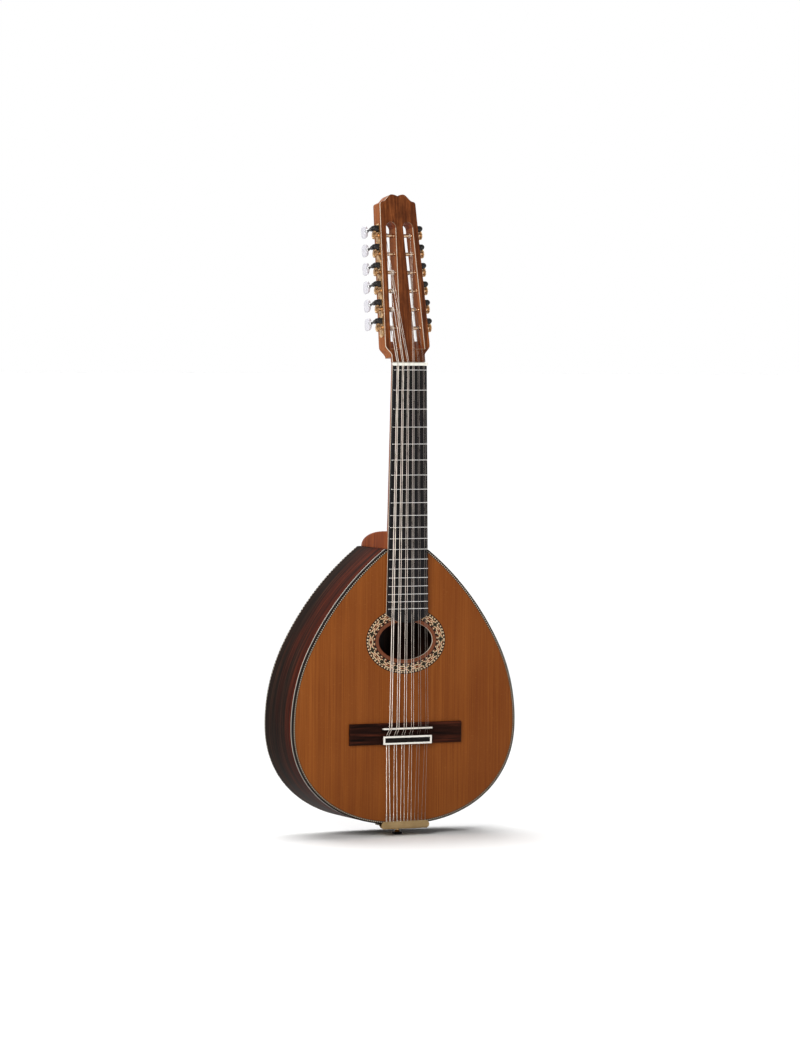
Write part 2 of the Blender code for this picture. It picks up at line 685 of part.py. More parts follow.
def side_point(side, out, depth, along):
    """A place in a side's frame, given in the head's frame."""
    across = HEAD_WIDE_HALF + out * math.cos(SIDE_TAPER) - along * math.sin(SIDE_TAPER)
    up = HEAD_WIDE_UP + out * math.sin(SIDE_TAPER) + along * math.cos(SIDE_TAPER)
    return (side * across, depth, up)


def roller_along(index):
    """A roller's place along its side's frame."""
    return FIRST_ROLLER_UP - HEAD_WIDE_UP + ROLLER_SPACING * index


def make_cutters(head, sides):
    """The head's two slots and the bores that the rollers turn in."""
    slots = []
    inner, outer = SLOT_WALL + SLOT_WIDTH, SLOT_WALL
    middle, radius = (inner + outer) / 2, SLOT_WIDTH / 2
    faces = [(-PAST_FACE, SLOT_BOTTOM_FACE), (HEAD_THICKNESS + PAST_FACE, SLOT_BOTTOM_BACK)]
    for side, frame in sides.items():
        rings = []
        for depth, bottom in faces:
            low = bottom - HEAD_WIDE_UP
            high = SLOT_TOP - HEAD_WIDE_UP - radius
            outline = [(-inner, low), (-outer, low)]
            for i in range(9):
                angle = math.pi * i / 8
                outline.append((-middle + radius * math.cos(angle), high + radius * math.sin(angle)))
            rings.append([(side * x, depth, z) for x, z in outline])
        slots.append(loft(frame.name + "_slot_cutter", rings, None, frame))
    ends = []
    for side in sides:
        for index in range(MACHINES):
            along = roller_along(index)
            blind = -SLOT_WALL - SLOT_WIDTH - ROLLER_IN_WEB - GAP
            ends.append(
                (
                    side_point(side, blind, ROLLER_DEPTH, along),
                    side_point(side, GEAR_OUT, ROLLER_DEPTH, along),
                )
            )
    bores = cylinders("roller_bore_cutter", ends, ROLLER_RADIUS + GAP, head, sides=8)
    return {"slots": slots, "bores": bores}


def gear_ring(out, tip, root):
    """One ring of a gear's outline at a distance out along its axis."""
    ring = []
    for tooth in range(GEAR_TEETH):
        for part, reach in ((-TOOTH_HALF_SHARE, tip), (TOOTH_HALF_SHARE, tip), (0.5, root)):
            angle = 2 * math.pi * (tooth + 0.5 + part) / GEAR_TEETH
            ring.append((out, reach * math.sin(angle), reach * math.cos(angle)))
    return ring


def make_roller(name, frame, side, along, looks):
    """A string roller with its worm wheel on its outer end, on an empty at the wheel."""
    axis = empty(name + "_axis", frame, (0, ROLLER_DEPTH, along))
    tip = GEAR_PITCH_RADIUS + GEAR_ADDENDUM
    root = GEAR_PITCH_RADIUS - GEAR_DEDENDUM
    faces = (GEAR_OUT - GEAR_THICKNESS / 2, GEAR_OUT + GEAR_THICKNESS / 2)
    rings = [gear_ring(side * out, tip, root) for out in faces]
    wheel = loft(name + "_wheel_joiner", rings, None, axis)
    inner_end = -SLOT_WALL - SLOT_WIDTH - ROLLER_IN_WEB
    profile = [(inner_end, ROLLER_RADIUS), (GEAR_OUT + GEAR_THICKNESS, ROLLER_RADIUS)]
    roller = turned(name, profile, 8, looks["brass"], axis, lambda a, b, out: (side * out, a, b))
    combine(roller, wheel, "UNION")


def make_button(name, frame, side, along, looks):
    """A worm, its shaft and its pearl button, on an empty on the worm's axis."""
    out = side * GEAR_OUT
    axis = empty(name + "_axis", frame, (out, ROLLER_DEPTH, along + WORM_ABOVE_ROLLER))
    sides = 8

    def round_ring(depth, across, tall):
        """A ring round the axis, facing along its depth."""
        ring = []
        for i in range(sides):
            angle = 2 * math.pi * (i + 0.5) / sides
            ring.append((side * across * math.sin(angle), depth, tall * math.cos(angle)))
        return ring

    def worm_ring(depth):
        """A ring with one thread standing out, turned by as much as the lead asks at its depth."""
        tip = WORM_PITCH_RADIUS + WORM_ADDENDUM
        root = WORM_PITCH_RADIUS - WORM_DEDENDUM
        crest = [(lean, tip) for lean in (-THREAD_CREST, 0, THREAD_CREST)]
        core = [(math.pi * part, root) for part in (0.75, 1, 1.25)]
        facing = math.pi + 2 * math.pi * depth / WORM_LEAD
        ring = []
        for lean, reach in [(-THREAD_FOOT, root)] + crest + [(THREAD_FOOT, root)] + core:
            angle = facing + lean
            ring.append((side * reach * math.sin(angle), depth, reach * math.cos(angle)))
        return ring

    half_worm = WORM_TURNS * WORM_LEAD / 2
    steps = round(sides * WORM_TURNS)
    worm = [worm_ring(half_worm * (2 * i / steps - 1)) for i in range(steps + 1)]
    worm_joiner = loft(name + "_worm_joiner", worm, None, axis)

    ear_face = EAR_GAP / 2 + EAR_THICKNESS
    collar = ear_face + COLLAR_PAST_EAR
    middle = BUTTON_DEPTH - ROLLER_DEPTH
    start, end = middle - BUTTON_LENGTH / 2, middle + BUTTON_LENGTH / 2
    shaft = [
        (-ear_face - SHAFT_PAST_EAR, SHAFT_RADIUS),
        (-half_worm - WORM_END_STEP, SHAFT_RADIUS),
        (half_worm + WORM_END_STEP, SHAFT_RADIUS),
        (collar - COLLAR_SLOPE, SHAFT_RADIUS),
        (collar, COLLAR_RADIUS),
        (collar + COLLAR_LENGTH, COLLAR_RADIUS),
        (collar + COLLAR_LENGTH + COLLAR_SLOPE, SHAFT_RADIUS),
        (start - PAST_FACE, SHAFT_RADIUS),
    ]
    pearl = [
        (start, BUTTON_NECK_SHARE, BUTTON_NECK_SHARE),
        (start + BUTTON_LENGTH / 4, 0.5, 0.5),
        (end - BUTTON_LENGTH / 4, 0.5, 0.5),
        (end, BUTTON_NECK_SHARE, BUTTON_CROWN_SHARE),
    ]
    rings = [round_ring(depth, reach, reach) for depth, reach in shaft]
    rings += [round_ring(depth, a * BUTTON_THICK, b * BUTTON_TALL) for depth, a, b in pearl]
    button = loft(name, rings, looks["pearl"], axis, smooth=True)
    combine(button, worm_joiner, "UNION")


def make_machines(head, sides, looks, bores):
    """Both rows of tuning machines: plates with their ears, rollers with wheels, worms with buttons."""
    for side, frame in sides.items():
        label = "right" if side > 0 else "left"
        low = roller_along(0) - PLATE_BEYOND
        high = roller_along(MACHINES - 1) + WORM_ABOVE_ROLLER + PLATE_BEYOND / 2
        half = PLATE_HEIGHT / 2
        sheet = rectangle(ROLLER_DEPTH - half, ROLLER_DEPTH + half, low, high)
        rings = [[(side * x, y, z) for y, z in sheet] for x in (GAP, GAP + PLATE_THICKNESS)]
        base = loft("tuner_plate_" + label, rings, looks["brass"], frame)
        reach = WORM_PITCH_RADIUS + WORM_ADDENDUM
        inside = GAP + PLATE_THICKNESS / 2
        outside = GEAR_OUT + reach - EAR_SHORT
        shafts = []
        for index in range(MACHINES):
            along = roller_along(index) + WORM_ABOVE_ROLLER
            for face in (-1, 1):
                near = ROLLER_DEPTH + face * EAR_GAP / 2
                far = near + face * EAR_THICKNESS
                spots = [
                    (side * inside, along - reach),
                    (side * outside, along - reach + EAR_CHAMFER),
                    (side * outside, along + reach - EAR_CHAMFER),
                    (side * inside, along + reach),
                ]
                ear_name = "ear_joiner_%s_%d_%s" % (label, index + 1, "front" if face < 0 else "back")
                combine(base, plate(ear_name, spots, near, far, None, frame), "UNION")
            front = (side * GEAR_OUT, ROLLER_DEPTH - EAR_GAP, along)
            shafts.append((front, (side * GEAR_OUT, ROLLER_DEPTH + EAR_GAP, along)))
        bore_name = "shaft_bore_cutter_" + label
        combine(base, cylinders(bore_name, shafts, SHAFT_RADIUS + GAP, frame, sides=8))
        combine(base, bores)
        for index in range(MACHINES):
            name = "%s_%d" % (label, index + 1)
            make_roller("roller_" + name, frame, side, roller_along(index), looks)
            make_button("button_" + name, frame, side, roller_along(index), looks)


def make_bridge(frame, looks):
    """The rosewood bridge, its saddle and the bone frame round the tie block."""
    tail_end = BRIDGE_DOWN + BRIDGE_LENGTH
    tie_start = tail_end - TIE_BLOCK_LENGTH
    slot = SADDLE_THICKNESS / 2 + GAP
    wall = slot + SADDLE_WALL_LENGTH
    slope = BRIDGE_SLOPE
    profile = [
        (BRIDGE_DOWN, WING_HEIGHT),
        (SADDLE_DOWN - wall, SADDLE_WALL_HEIGHT - slope),
        (SADDLE_DOWN - wall + slope, SADDLE_WALL_HEIGHT),
        (SADDLE_DOWN - slot, SADDLE_WALL_HEIGHT),
        (SADDLE_DOWN - slot + SADDLE_SLOT_DRAFT, SADDLE_FLOOR),
        (SADDLE_DOWN + slot - SADDLE_SLOT_DRAFT, SADDLE_FLOOR),
        (SADDLE_DOWN + slot, SADDLE_WALL_HEIGHT),
        (SADDLE_DOWN + wall - slope, SADDLE_WALL_HEIGHT),
        (SADDLE_DOWN + wall, VALLEY_HEIGHT),
        (tie_start - slope / 2, VALLEY_HEIGHT),
        (tie_start, TIE_BLOCK_HEIGHT),
        (tail_end, TIE_BLOCK_HEIGHT),
    ]
    half, block = BRIDGE_WIDTH / 2, BRIDGE_BLOCK_WIDTH / 2
    stations = [
        (-half, False),
        (-block - slope, False),
        (-block, True),
        (block, True),
        (block + slope, False),
        (half, False),
    ]
    rings = []
    for x, full in stations:
        heights = [height if full else min(height, WING_HEIGHT) for _, height in profile]
        ring = [(x, -GAP, -BRIDGE_DOWN)]
        ring += [(x, -height - GAP, -down) for (down, _), height in zip(profile, heights)]
        ring.append((x, -GAP, -tail_end))
        rings.append(ring)
    bridge = loft("bridge", rings, looks["rosewood_dark"], frame)
    first, last = -tie_start + PAST_FACE, -tail_end - PAST_FACE
    holes = [
        ((x, -TIE_HOLE_HEIGHT, first), (x, -TIE_HOLE_HEIGHT, last))
        for x in pair_places(TIE_COURSE_SPACING, TIE_PAIR_SPACING)
    ]
    combine(bridge, cylinders("tie_hole_cutter", holes, COURSE_GAUGES[0] / 2 + GAP, frame, sides=6))

    half = SADDLE_THICKNESS / 2
    crown = [(-half, -SADDLE_FLOOR - 2 * GAP)]
    for part in (-1, -0.5, 0, 0.5, 1):
        crown.append((half * part, -SADDLE_CREST + SADDLE_ROUNDING * part * part))
    crown.append((half, -SADDLE_FLOOR - 2 * GAP))
    ends = (SADDLE_INSET - block, block - SADDLE_INSET)
    rings = [[(x, y, z - SADDLE_DOWN) for z, y in crown] for x in ends]
    loft("saddle", rings, looks["bone"], frame)

    half, strip = block - FRAME_INSET, FRAME_STRIP
    low, high = -tail_end + FRAME_LEDGE, -tie_start - FRAME_LEDGE
    outer = rectangle(-half, half, low, high)
    inner = rectangle(-half + strip, half - strip, low + strip, high - strip)
    start = -TIE_BLOCK_HEIGHT - 2 * GAP
    hoop("tie_block_frame", outer, inner, start - FRAME_THICKNESS, start, looks["bone"], frame)


def make_tailpiece(frame, looks, pin_hole):
    """The brass tailpiece hooked round the body's tail, and the end pin through it."""
    front = -TAILPIECE_PROUD
    sheet = TAILPIECE_SHEET
    base = FLANGE_BOTTOM
    lip_end = base - sheet
    half, narrow = TAILPIECE_WIDTH / 2, FLANGE_WIDTH / 2
    outer = [(front, TAILPIECE_TOP, half), (front, lip_end, half)]
    inner = [(front + sheet, TAILPIECE_TOP, half), (front + sheet, lip_end, half)]
    for i in range(1, 4):
        angle = math.pi / 6 * i
        bend = sheet * (1 - math.cos(angle))
        outer.append((front + 2 * bend, lip_end + TAILPIECE_DROP * math.sin(angle), half))
        inner.append((front + sheet + bend, lip_end + (TAILPIECE_DROP - sheet) * math.sin(angle), half))
    reach = HOOD_DEPTH - front - 2 * sheet
    for i in range(1, 5):
        angle = math.pi / 8 * i
        depth = front + 2 * sheet + reach * math.sin(angle)
        down = base + (TAILPIECE_DROP - sheet) * math.cos(angle)
        slant = sheet * (1 + HOOD_SLANT * math.sin(2 * angle))
        outer.append((depth, down, half))
        inner.append((depth, down - slant, half))
    end = PIN_DEPTH + PIN_HEAD_RADIUS + FLANGE_PAST_HEAD
    for depth, width in ((end, half), (end + FLANGE_PAST_HEAD, narrow), (FLANGE_DEPTH, narrow)):
        outer.append((depth, base, width))
        inner.append((depth, base - sheet, width))
    rings = []
    for (yo, do, width), (yi, di, _) in zip(outer, inner):
        rings.append([(-width, yo, -do), (width, yo, -do), (width, yi, -di), (-width, yi, -di)])
    piece = loft("tailpiece", rings, looks["brass"], frame)
    combine(piece, pin_hole)

    tip = TAIL_DOWN + PIN_DROP
    collar = base + GAP
    profile = [
        (TAIL_DOWN - BLOCK_THICKNESS, PIN_INNER_RADIUS),
        ((collar + tip) / 2, PIN_RADIUS),
        (tip - PIN_HEAD_LENGTH, PIN_HEAD_RADIUS),
        (tip - PIN_HEAD_BEVEL, PIN_HEAD_RADIUS),
        (tip, PIN_TIP_RADIUS),
    ]
    turned("end_pin", profile, 12, looks["ebony"], frame, lambda a, b, down: (a, PIN_DEPTH + b, -down))


def winding(side, index, radius, arrival):
    """The string's turns round its roller, from the place where it first touches, as head places."""
    along = roller_along(index)
    reach = ROLLER_RADIUS + GAP + radius
    centre = side_point(side, WINDING_OUT[index], ROLLER_DEPTH, along)
    rise, back = centre[2] - arrival[2], centre[1] - arrival[1]
    start = math.atan2(back, rise) - math.asin(reach / math.hypot(rise, back))
    step = 2 * radius + WINDING_STEP
    points = []
    count = round(WINDING_TURNS * WINDING_LOOP_POINTS)
    for i in range(count + 1):
        turn = 2 * math.pi * i / WINDING_LOOP_POINTS
        out = WINDING_OUT[index] - step * turn / (2 * math.pi)
        angle = start + turn
        depth = ROLLER_DEPTH - reach * math.cos(angle)
        points.append(side_point(side, out, depth, along + reach * math.sin(angle)))
    return points


def make_strings(frame, looks):
    """Twelve strings, each whole from its hook through the tie block and over the saddle to its roller."""
    hooks = [(i - (2 * COURSES - 1) / 2) * HOOK_SPACING for i in range(2 * COURSES)]
    ties = pair_places(TIE_COURSE_SPACING, TIE_PAIR_SPACING)
    saddles = pair_places(SADDLE_COURSE_SPACING, SADDLE_PAIR_SPACING)
    nuts = pair_places(NUT_COURSE_SPACING, NUT_PAIR_SPACING)
    tail_end = BRIDGE_DOWN + BRIDGE_LENGTH
    closest = None
    for i in range(2 * COURSES):
        radius = COURSE_GAUGES[i // 2] / 2
        side = -1 if i < COURSES else 1
        machine = i if side < 0 else 2 * COURSES - 1 - i
        above_fret = -FRET_TOP - GAP - radius
        above_saddle = -SADDLE_CREST - GAP - radius
        hook_depth = -TAILPIECE_PROUD + TAILPIECE_SHEET / 2
        leaving = NUT_TOP_UP + PAST_NUT
        route = [
            (hooks[i], hook_depth, -TAILPIECE_TOP + GAP),
            (ties[i], -TIE_HOLE_HEIGHT, -tail_end - PAST_FACE),
            (ties[i], -TIE_HOLE_HEIGHT, -tail_end + TIE_BLOCK_LENGTH + PAST_FACE),
            (saddles[i], above_saddle, -SADDLE_DOWN),
            (nuts[i], above_fret, 0),
            (nuts[i], above_fret, leaving),
        ]
        tilt = Vector((0, above_fret - HEAD_FACE_DEPTH, leaving - NUT_TOP_UP))
        arrival = (
            nuts[i],
            tilt.y * math.cos(HEAD_TILT) - tilt.z * math.sin(HEAD_TILT),
            tilt.y * math.sin(HEAD_TILT) + tilt.z * math.cos(HEAD_TILT),
        )
        turns = winding(side, machine, radius, arrival)
        route += [head_point(*point) for point in turns]
        gap = winding_gap(turns, 2 * radius)
        closest = gap if closest is None else min(closest, gap)
        curve = bpy.data.curves.new("string_%02d" % (i + 1), "CURVE")
        curve.dimensions = "3D"
        curve.bevel_depth = radius
        curve.bevel_resolution = 1
        curve.use_fill_caps = True
        spline = curve.splines.new("POLY")
        spline.points.add(len(route) - 1)
        for point, place in zip(spline.points, route):
            point.co = (*place, 1)
        wire = bpy.data.objects.new(curve.name, curve)
        wire.parent = frame
        curve.materials.append(looks["bronze"] if i < COURSES else looks["steel"])
        bpy.context.scene.collection.objects.link(wire)
    print("least gap in a winding: %.2f mm" % (closest / MM))


def winding_gap(points, thickness):
    """The least gap between a winding's turns, on its points."""
    gaps = [
        (Vector(a) - Vector(b)).length - thickness
        for i, a in enumerate(points)
        for b in points[i + WINDING_LOOP_POINTS - 2:]
    ]
    return min(gaps)


def make_looks():
    """The part's plain materials by name."""
    return {
        "cedar": material("cedar", (0.45, 0.17, 0.045), 0.4),
        "rosewood": material("rosewood", (0.07, 0.028, 0.02), 0.35),
        "rosewood_dark": material("rosewood_dark", (0.04, 0.018, 0.012), 0.45),
        "mahogany": material("mahogany", (0.36, 0.13, 0.05), 0.4),
        "maple": material("maple", (0.75, 0.62, 0.45), 0.4),
        "ebony": material("ebony", (0.02, 0.018, 0.018), 0.45),
        "binding": material("binding", (0.03, 0.02, 0.018), 0.4),
        "mosaic": material("mosaic", (0.5, 0.36, 0.2), 0.45),
        "bone": material("bone", (0.9, 0.87, 0.8), 0.4),
        "pearl": material("pearl", (0.86, 0.85, 0.84), 0.2),
        "brass": material("brass", (0.6, 0.42, 0.18), 0.35, 1.0),
        "steel": material("steel", (0.7, 0.7, 0.7), 0.25, 1.0),
        "bronze": material("bronze", (0.72, 0.56, 0.42), 0.3, 1.0),
    }


def main():
    for old in list(bpy.data.objects):
        bpy.data.objects.remove(old, do_unlink=True)
    looks = make_looks()
    drawing = empty("throat_origin", location=(0, -THROAT_DEPTH, -THROAT_UP))
    head = empty("head_frame", drawing, (0, HEAD_FACE_DEPTH, NUT_TOP_UP), (-HEAD_TILT, 0, 0))
    sides = {side: side_frame(head, side) for side in (-1, 1)}
    cutters = make_cutters(head, sides)
    pin_hole = make_shell(drawing, looks)
    make_fingerboard(drawing, looks)
    make_neck(drawing, head, looks, cutters)
    make_machines(head, sides, looks, cutters["bores"])
    make_bridge(drawing, looks)
    make_tailpiece(drawing, looks, pin_hole)
    make_strings(drawing, looks)


main()
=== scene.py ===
# The looks of a laud: finer pieces, materials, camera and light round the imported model.
#
# Lengths are in metres. As in part.py, sizes are drawn from the zero fret, with x across, y back
# from the soundboard's face and z up towards the head, so a place "down" the string has z = -down.
# DRAWING carries that to the part's own origin, HEAD is the tilted head's frame, and SIDES holds
# the frames of the head's two tapering sides.

import math

import bmesh
import bpy
from mathutils import Matrix, Vector


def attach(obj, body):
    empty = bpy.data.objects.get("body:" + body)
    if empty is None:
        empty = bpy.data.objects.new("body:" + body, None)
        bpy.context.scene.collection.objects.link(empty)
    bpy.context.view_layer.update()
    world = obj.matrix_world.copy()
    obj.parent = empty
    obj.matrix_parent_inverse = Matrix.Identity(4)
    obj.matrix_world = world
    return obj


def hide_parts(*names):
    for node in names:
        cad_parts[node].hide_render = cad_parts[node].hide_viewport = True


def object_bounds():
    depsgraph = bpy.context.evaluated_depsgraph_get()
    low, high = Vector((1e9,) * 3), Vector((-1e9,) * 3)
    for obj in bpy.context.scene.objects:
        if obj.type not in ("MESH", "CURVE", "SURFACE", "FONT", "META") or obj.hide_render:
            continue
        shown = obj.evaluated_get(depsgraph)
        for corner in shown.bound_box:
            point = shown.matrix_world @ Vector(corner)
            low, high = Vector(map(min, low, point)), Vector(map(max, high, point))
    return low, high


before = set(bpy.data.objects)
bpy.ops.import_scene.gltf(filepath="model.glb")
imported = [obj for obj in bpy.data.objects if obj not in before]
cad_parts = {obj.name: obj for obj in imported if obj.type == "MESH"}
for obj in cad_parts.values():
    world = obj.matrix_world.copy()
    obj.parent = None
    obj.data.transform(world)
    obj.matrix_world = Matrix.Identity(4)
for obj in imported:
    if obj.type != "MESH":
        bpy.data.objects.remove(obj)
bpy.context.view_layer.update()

MM = 0.001
GAP = 0.3 * MM

# Strings and frets
SCALE_LENGTH = 505 * MM
SADDLE_SETBACK = 0.5 * MM
FRETS = 19
JOINT_FRET = 12
FRET_WIDTH = 2.0 * MM
FRET_HEIGHT = 1.0 * MM
COURSES = 6
STRINGS = 2 * COURSES
COURSE_GAUGES = [1.2 * MM, 0.95 * MM, 0.7 * MM, 0.5 * MM, 0.38 * MM, 0.3 * MM]
NUT_EDGE = 4.375 * MM
NUT_PAIR_SPACING = 2.0 * MM
SADDLE_COURSE_SPACING = 11.5 * MM
SADDLE_PAIR_SPACING = 3.5 * MM
TIE_COURSE_SPACING = 12.0 * MM
TIE_PAIR_SPACING = 3.7 * MM
HOOK_EDGE = 6.975 * MM

# Body
BODY_DEPTH = 94 * MM
WIDEST_BELOW_JOINT = 247.5 * MM
LOWER_HALF_WIDTH = 175.5 * MM
JOINT_HALF_WIDTH = 32.2 * MM
BOUT_RADIUS = 240 * MM
SHOULDER_RADIUS = 400 * MM
TAIL_HEIGHT = 142.5 * MM
TAIL_FULLNESS = 2.2
TOP_THICKNESS = 2.5 * MM
BACK_THICKNESS = 2.5 * MM
SIDE_THICKNESS = 2.2 * MM
FRONT_BINDING_HEIGHT = 6.0 * MM
BACK_BINDING_HEIGHT = 3.0 * MM
BLOCK_THICKNESS = 22 * MM
NECK_BLOCK_WIDTH = 56 * MM

# Soundhole and rosette
HOLE_BELOW_JOINT = 129.5 * MM
HOLE_WIDTH = 85 * MM
HOLE_HEIGHT = 54 * MM
ROSETTE_MARGIN = 5.0 * MM
ROSETTE_WIDTH = 15 * MM
ROSETTE_THICKNESS = 1.0 * MM

# Fingerboard and nut
BOARD_WIDTH_ZERO = 52 * MM
BOARD_WIDTH_JOINT = 60.5 * MM
BOARD_THICKNESS = 6.0 * MM
BOARD_PAST_FRETS = 8.5 * MM
BOARD_END_BULGE = 11.5 * MM
NUT_ABOVE_FRET = 6.1 * MM
NUT_LENGTH = 4.5 * MM
NUT_HEIGHT = 9.0 * MM

# Neck and heel
NECK_THICKNESS_NUT = 15 * MM
NECK_THICKNESS_HEEL = 18 * MM
NECK_ROUNDNESS = 2.4
HEEL_ROUNDNESS = 12.0
HEEL_LENGTH = 24.5 * MM
NECK_INSET = 0.5 * MM

# Head, measured along its own tilted face from the nut's upper edge
HEAD_TILT = math.radians(10.3)
HEAD_FACE_DEPTH = -2.2 * MM
HEAD_FACE_VENEER = 2.0 * MM
HEAD_LIGHT_VENEER = 1.0 * MM
HEAD_THICKNESS = 24 * MM
THROAT_LOW = 10 * MM
THROAT_HIGH = 24 * MM
HEAD_WIDE_UP = 30 * MM
HEAD_WIDE_HALF = 34.3 * MM
CORNER_ABOVE_SLOT = 27 * MM
HEAD_CORNER_HALF = 27.7 * MM
HEAD_CORNER_RADIUS = 4.0 * MM
CREST_ABOVE_CORNER = 11.5 * MM
CREST_PEAK_HALF = 9.3 * MM
CREST_NOTCH = 2.4 * MM
CREST_SHELF = 10.2 * MM
CORE_OVERLAP = 4.0 * MM
CORE_BELOW_THROAT = 1.0 * MM
SLOT_WALL = 7.5 * MM
SLOT_WEB_HALF = 5.0 * MM
SLOT_BOTTOM_FACE = 18 * MM
SLOT_BOTTOM_BACK = 35 * MM
SLOT_ABOVE_ROLLER = 18.5 * MM

# Tuning machines, six a side
MACHINES = 6
FIRST_ROLLER_UP = 51 * MM
ROLLER_SPACING = 26.5 * MM
ROLLER_DEPTH = 10 * MM
ROLLER_RADIUS = 3.0 * MM
ROLLER_IN_WEB = 3.0 * MM
PLATE_THICKNESS = 1.2 * MM
PLATE_HEIGHT = 12.5 * MM
PLATE_BEYOND = 14 * MM
GEAR_OUT = 7.2 * MM
GEAR_THICKNESS = 2.0 * MM
GEAR_TEETH = 15
GEAR_PITCH_RADIUS = 5.8 * MM
GEAR_ADDENDUM = 0.5 * MM
GEAR_DEDENDUM = 0.7 * MM
WORM_PITCH_RADIUS = 3.4 * MM
WORM_ADDENDUM = 0.5 * MM
WORM_DEDENDUM = 0.7 * MM
WORM_TURNS = 2.0
WORM_END_STEP = 0.2 * MM
WORM_CLEARANCE = 0.1 * MM
THREAD_CREST = math.radians(22)
THREAD_FOOT = math.radians(80)
EAR_GAP = 6.6 * MM
EAR_THICKNESS = 1.2 * MM
EAR_SHORT = 1.0 * MM
SHAFT_RADIUS = 1.9 * MM
SHAFT_PAST_EAR = 0.6 * MM
COLLAR_RADIUS = 3.04 * MM
COLLAR_PAST_EAR = 1.6 * MM
COLLAR_LENGTH = 2.4 * MM
BUTTON_DEPTH = 40 * MM
BUTTON_LENGTH = 14 * MM
BUTTON_TALL = 18.8 * MM
BUTTON_THICK = 6.2 * MM
WINDING_OUT = [-11.3 * MM, -13.0 * MM, -14.6 * MM, -16.7 * MM, -9.9 * MM, -9.5 * MM]

# Bridge and saddle
BRIDGE_BEFORE_SADDLE = 7.5 * MM
BRIDGE_LENGTH = 30 * MM
BRIDGE_WIDTH = 176 * MM
BRIDGE_BLOCK_EDGE = 7.9 * MM
WING_HEIGHT = 4.0 * MM
SADDLE_WALL_HEIGHT = 9.0 * MM
SADDLE_WALL_LENGTH = 2.2 * MM
VALLEY_HEIGHT = 4.4 * MM
TIE_BLOCK_LENGTH = 12.3 * MM
TIE_BLOCK_HEIGHT = 8.0 * MM
TIE_HOLE_BELOW = 1.8 * MM
SADDLE_THICKNESS = 2.3 * MM
SADDLE_INSET = 1.5 * MM
SADDLE_CREST = 12 * MM
SADDLE_ROUNDING = 1.0 * MM
SADDLE_FLOOR = 5.0 * MM
FRAME_INSET = 1.8 * MM
FRAME_LEDGE = 0.25 * MM
FRAME_STRIP = 2.5 * MM
FRAME_THICKNESS = 1.5 * MM

# Tailpiece and end pin
TAILPIECE_WIDTH = 75 * MM
TAILPIECE_PROUD = 5.0 * MM
TAILPIECE_RISE = 5.5 * MM
TAILPIECE_DROP = 5.5 * MM
TAILPIECE_SHEET = 1.2 * MM
HOOD_DEPTH = 13 * MM
HOOD_SLANT = 0.6
FLANGE_WIDTH = 30 * MM
FLANGE_DEPTH = 62 * MM
PIN_DEPTH = 21 * MM
PIN_RADIUS = 3.1 * MM
PIN_INNER_RADIUS = 2.48 * MM
PIN_TIP_RADIUS = 5.145 * MM
PIN_HEAD_RADIUS = 7.35 * MM
PIN_HEAD_LENGTH = 4.0 * MM
PIN_HEAD_BEVEL = 1.5 * MM
PIN_DROP = 15.9 * MM
FLANGE_PAST_HEAD = 2.0 * MM

# How far a cutter runs past the faces that it opens, and a string past its nut and its tie block
PAST_FACE = 1.0 * MM
PAST_NUT = 0.2 * MM

# Looks only: edge lines, easings, fine details and the strings' turns
EASING = 0.4 * MM
FINE_EASING = 0.3 * MM
BINDING_TOP_WIDTH = 1.5 * MM
EDGE_LINE = 0.4 * MM
SIDE_LINE = 1.3 * MM
ROPE_WIDTH = 1.5 * MM
ROPE_STEP = 1.6 * MM
BACK_ROPE_STEP = 2.4 * MM
BACK_ROPE_HEIGHT = 1.9 * MM
INNER_LINE = 0.7 * MM
MOSAIC_MOTIFS = 13
MOSAIC_MOTIF = 11
MOSAIC_ROWS = 5
LIGHT_VENEER_DEPTH = 0.9 * MM
CENTRE_STRIP_HALF = 1.2 * MM
BOARD_LINE = 1.0 * MM
FRET_CROWN_HALF = 0.66 * MM
ROLLER_WAIST = ROLLER_RADIUS - 0.35 * MM
PLATE_SQUARING = 0.6
PLATE_SCREW_RADIUS = 1.7 * MM
PLATE_SCREW_ASIDE = 3.9 * MM
PLATE_SCREW_SHARE = 0.62
PLATE_SCREW_LOW = 3.2 * MM
PLATE_SCREW_HIGH = 3.0 * MM
BUTTON_SPREAD = 0.06
BUTTON_SQUARING = 0.6
BUTTON_TOP_SQUARING = 0.75
BUTTON_EDGE = 0.42
TAILPIECE_CORNER = 5.5 * MM
TAILPIECE_SCREW_ACROSS = 9 * MM
TAILPIECE_SCREW_DEPTH = 52 * MM
STRING_BEND = 1.2 * MM
WRAP_TURNS = 9
WRAP_POINTS = 12
EYE_WIDTH = 3.0 * MM
EYE_LENGTH = 2.6 * MM
WOUND_COURSES = 4
STRING_TURNS = 4.25
TURN_GAP = 0.04 * MM
LOOP_POINTS = 24

# Studio
WORLD_LIGHT = 0.2
FRONT_GLOSS = 0.4
FLOOR_REACH = 40
FLOOR_BELOW = 0.5 * MM
FLOOR_WHITE = (0.97, 0.97, 0.97)
FLOOR_BOUNCE = (0.62, 0.62, 0.62)
LIGHTS_AIM = (0, 0, -0.4)
KEY_POWER = 26.3
KEY_COLOUR = (1.0, 0.985, 0.96)
FILL_POWER = 8
OVERHEAD_POWER = 2.9
OVERHEAD_SPREAD = math.radians(58)
OVERHEAD_TILT = math.radians(-22)

# The colour of rosewood's pores
PORE = (0.006, 0.004, 0.003)


def fret_down(number):
    """A fret's place down the string, by the equal-tempered rule."""
    return SCALE_LENGTH * (1 - 2 ** (-number / 12))


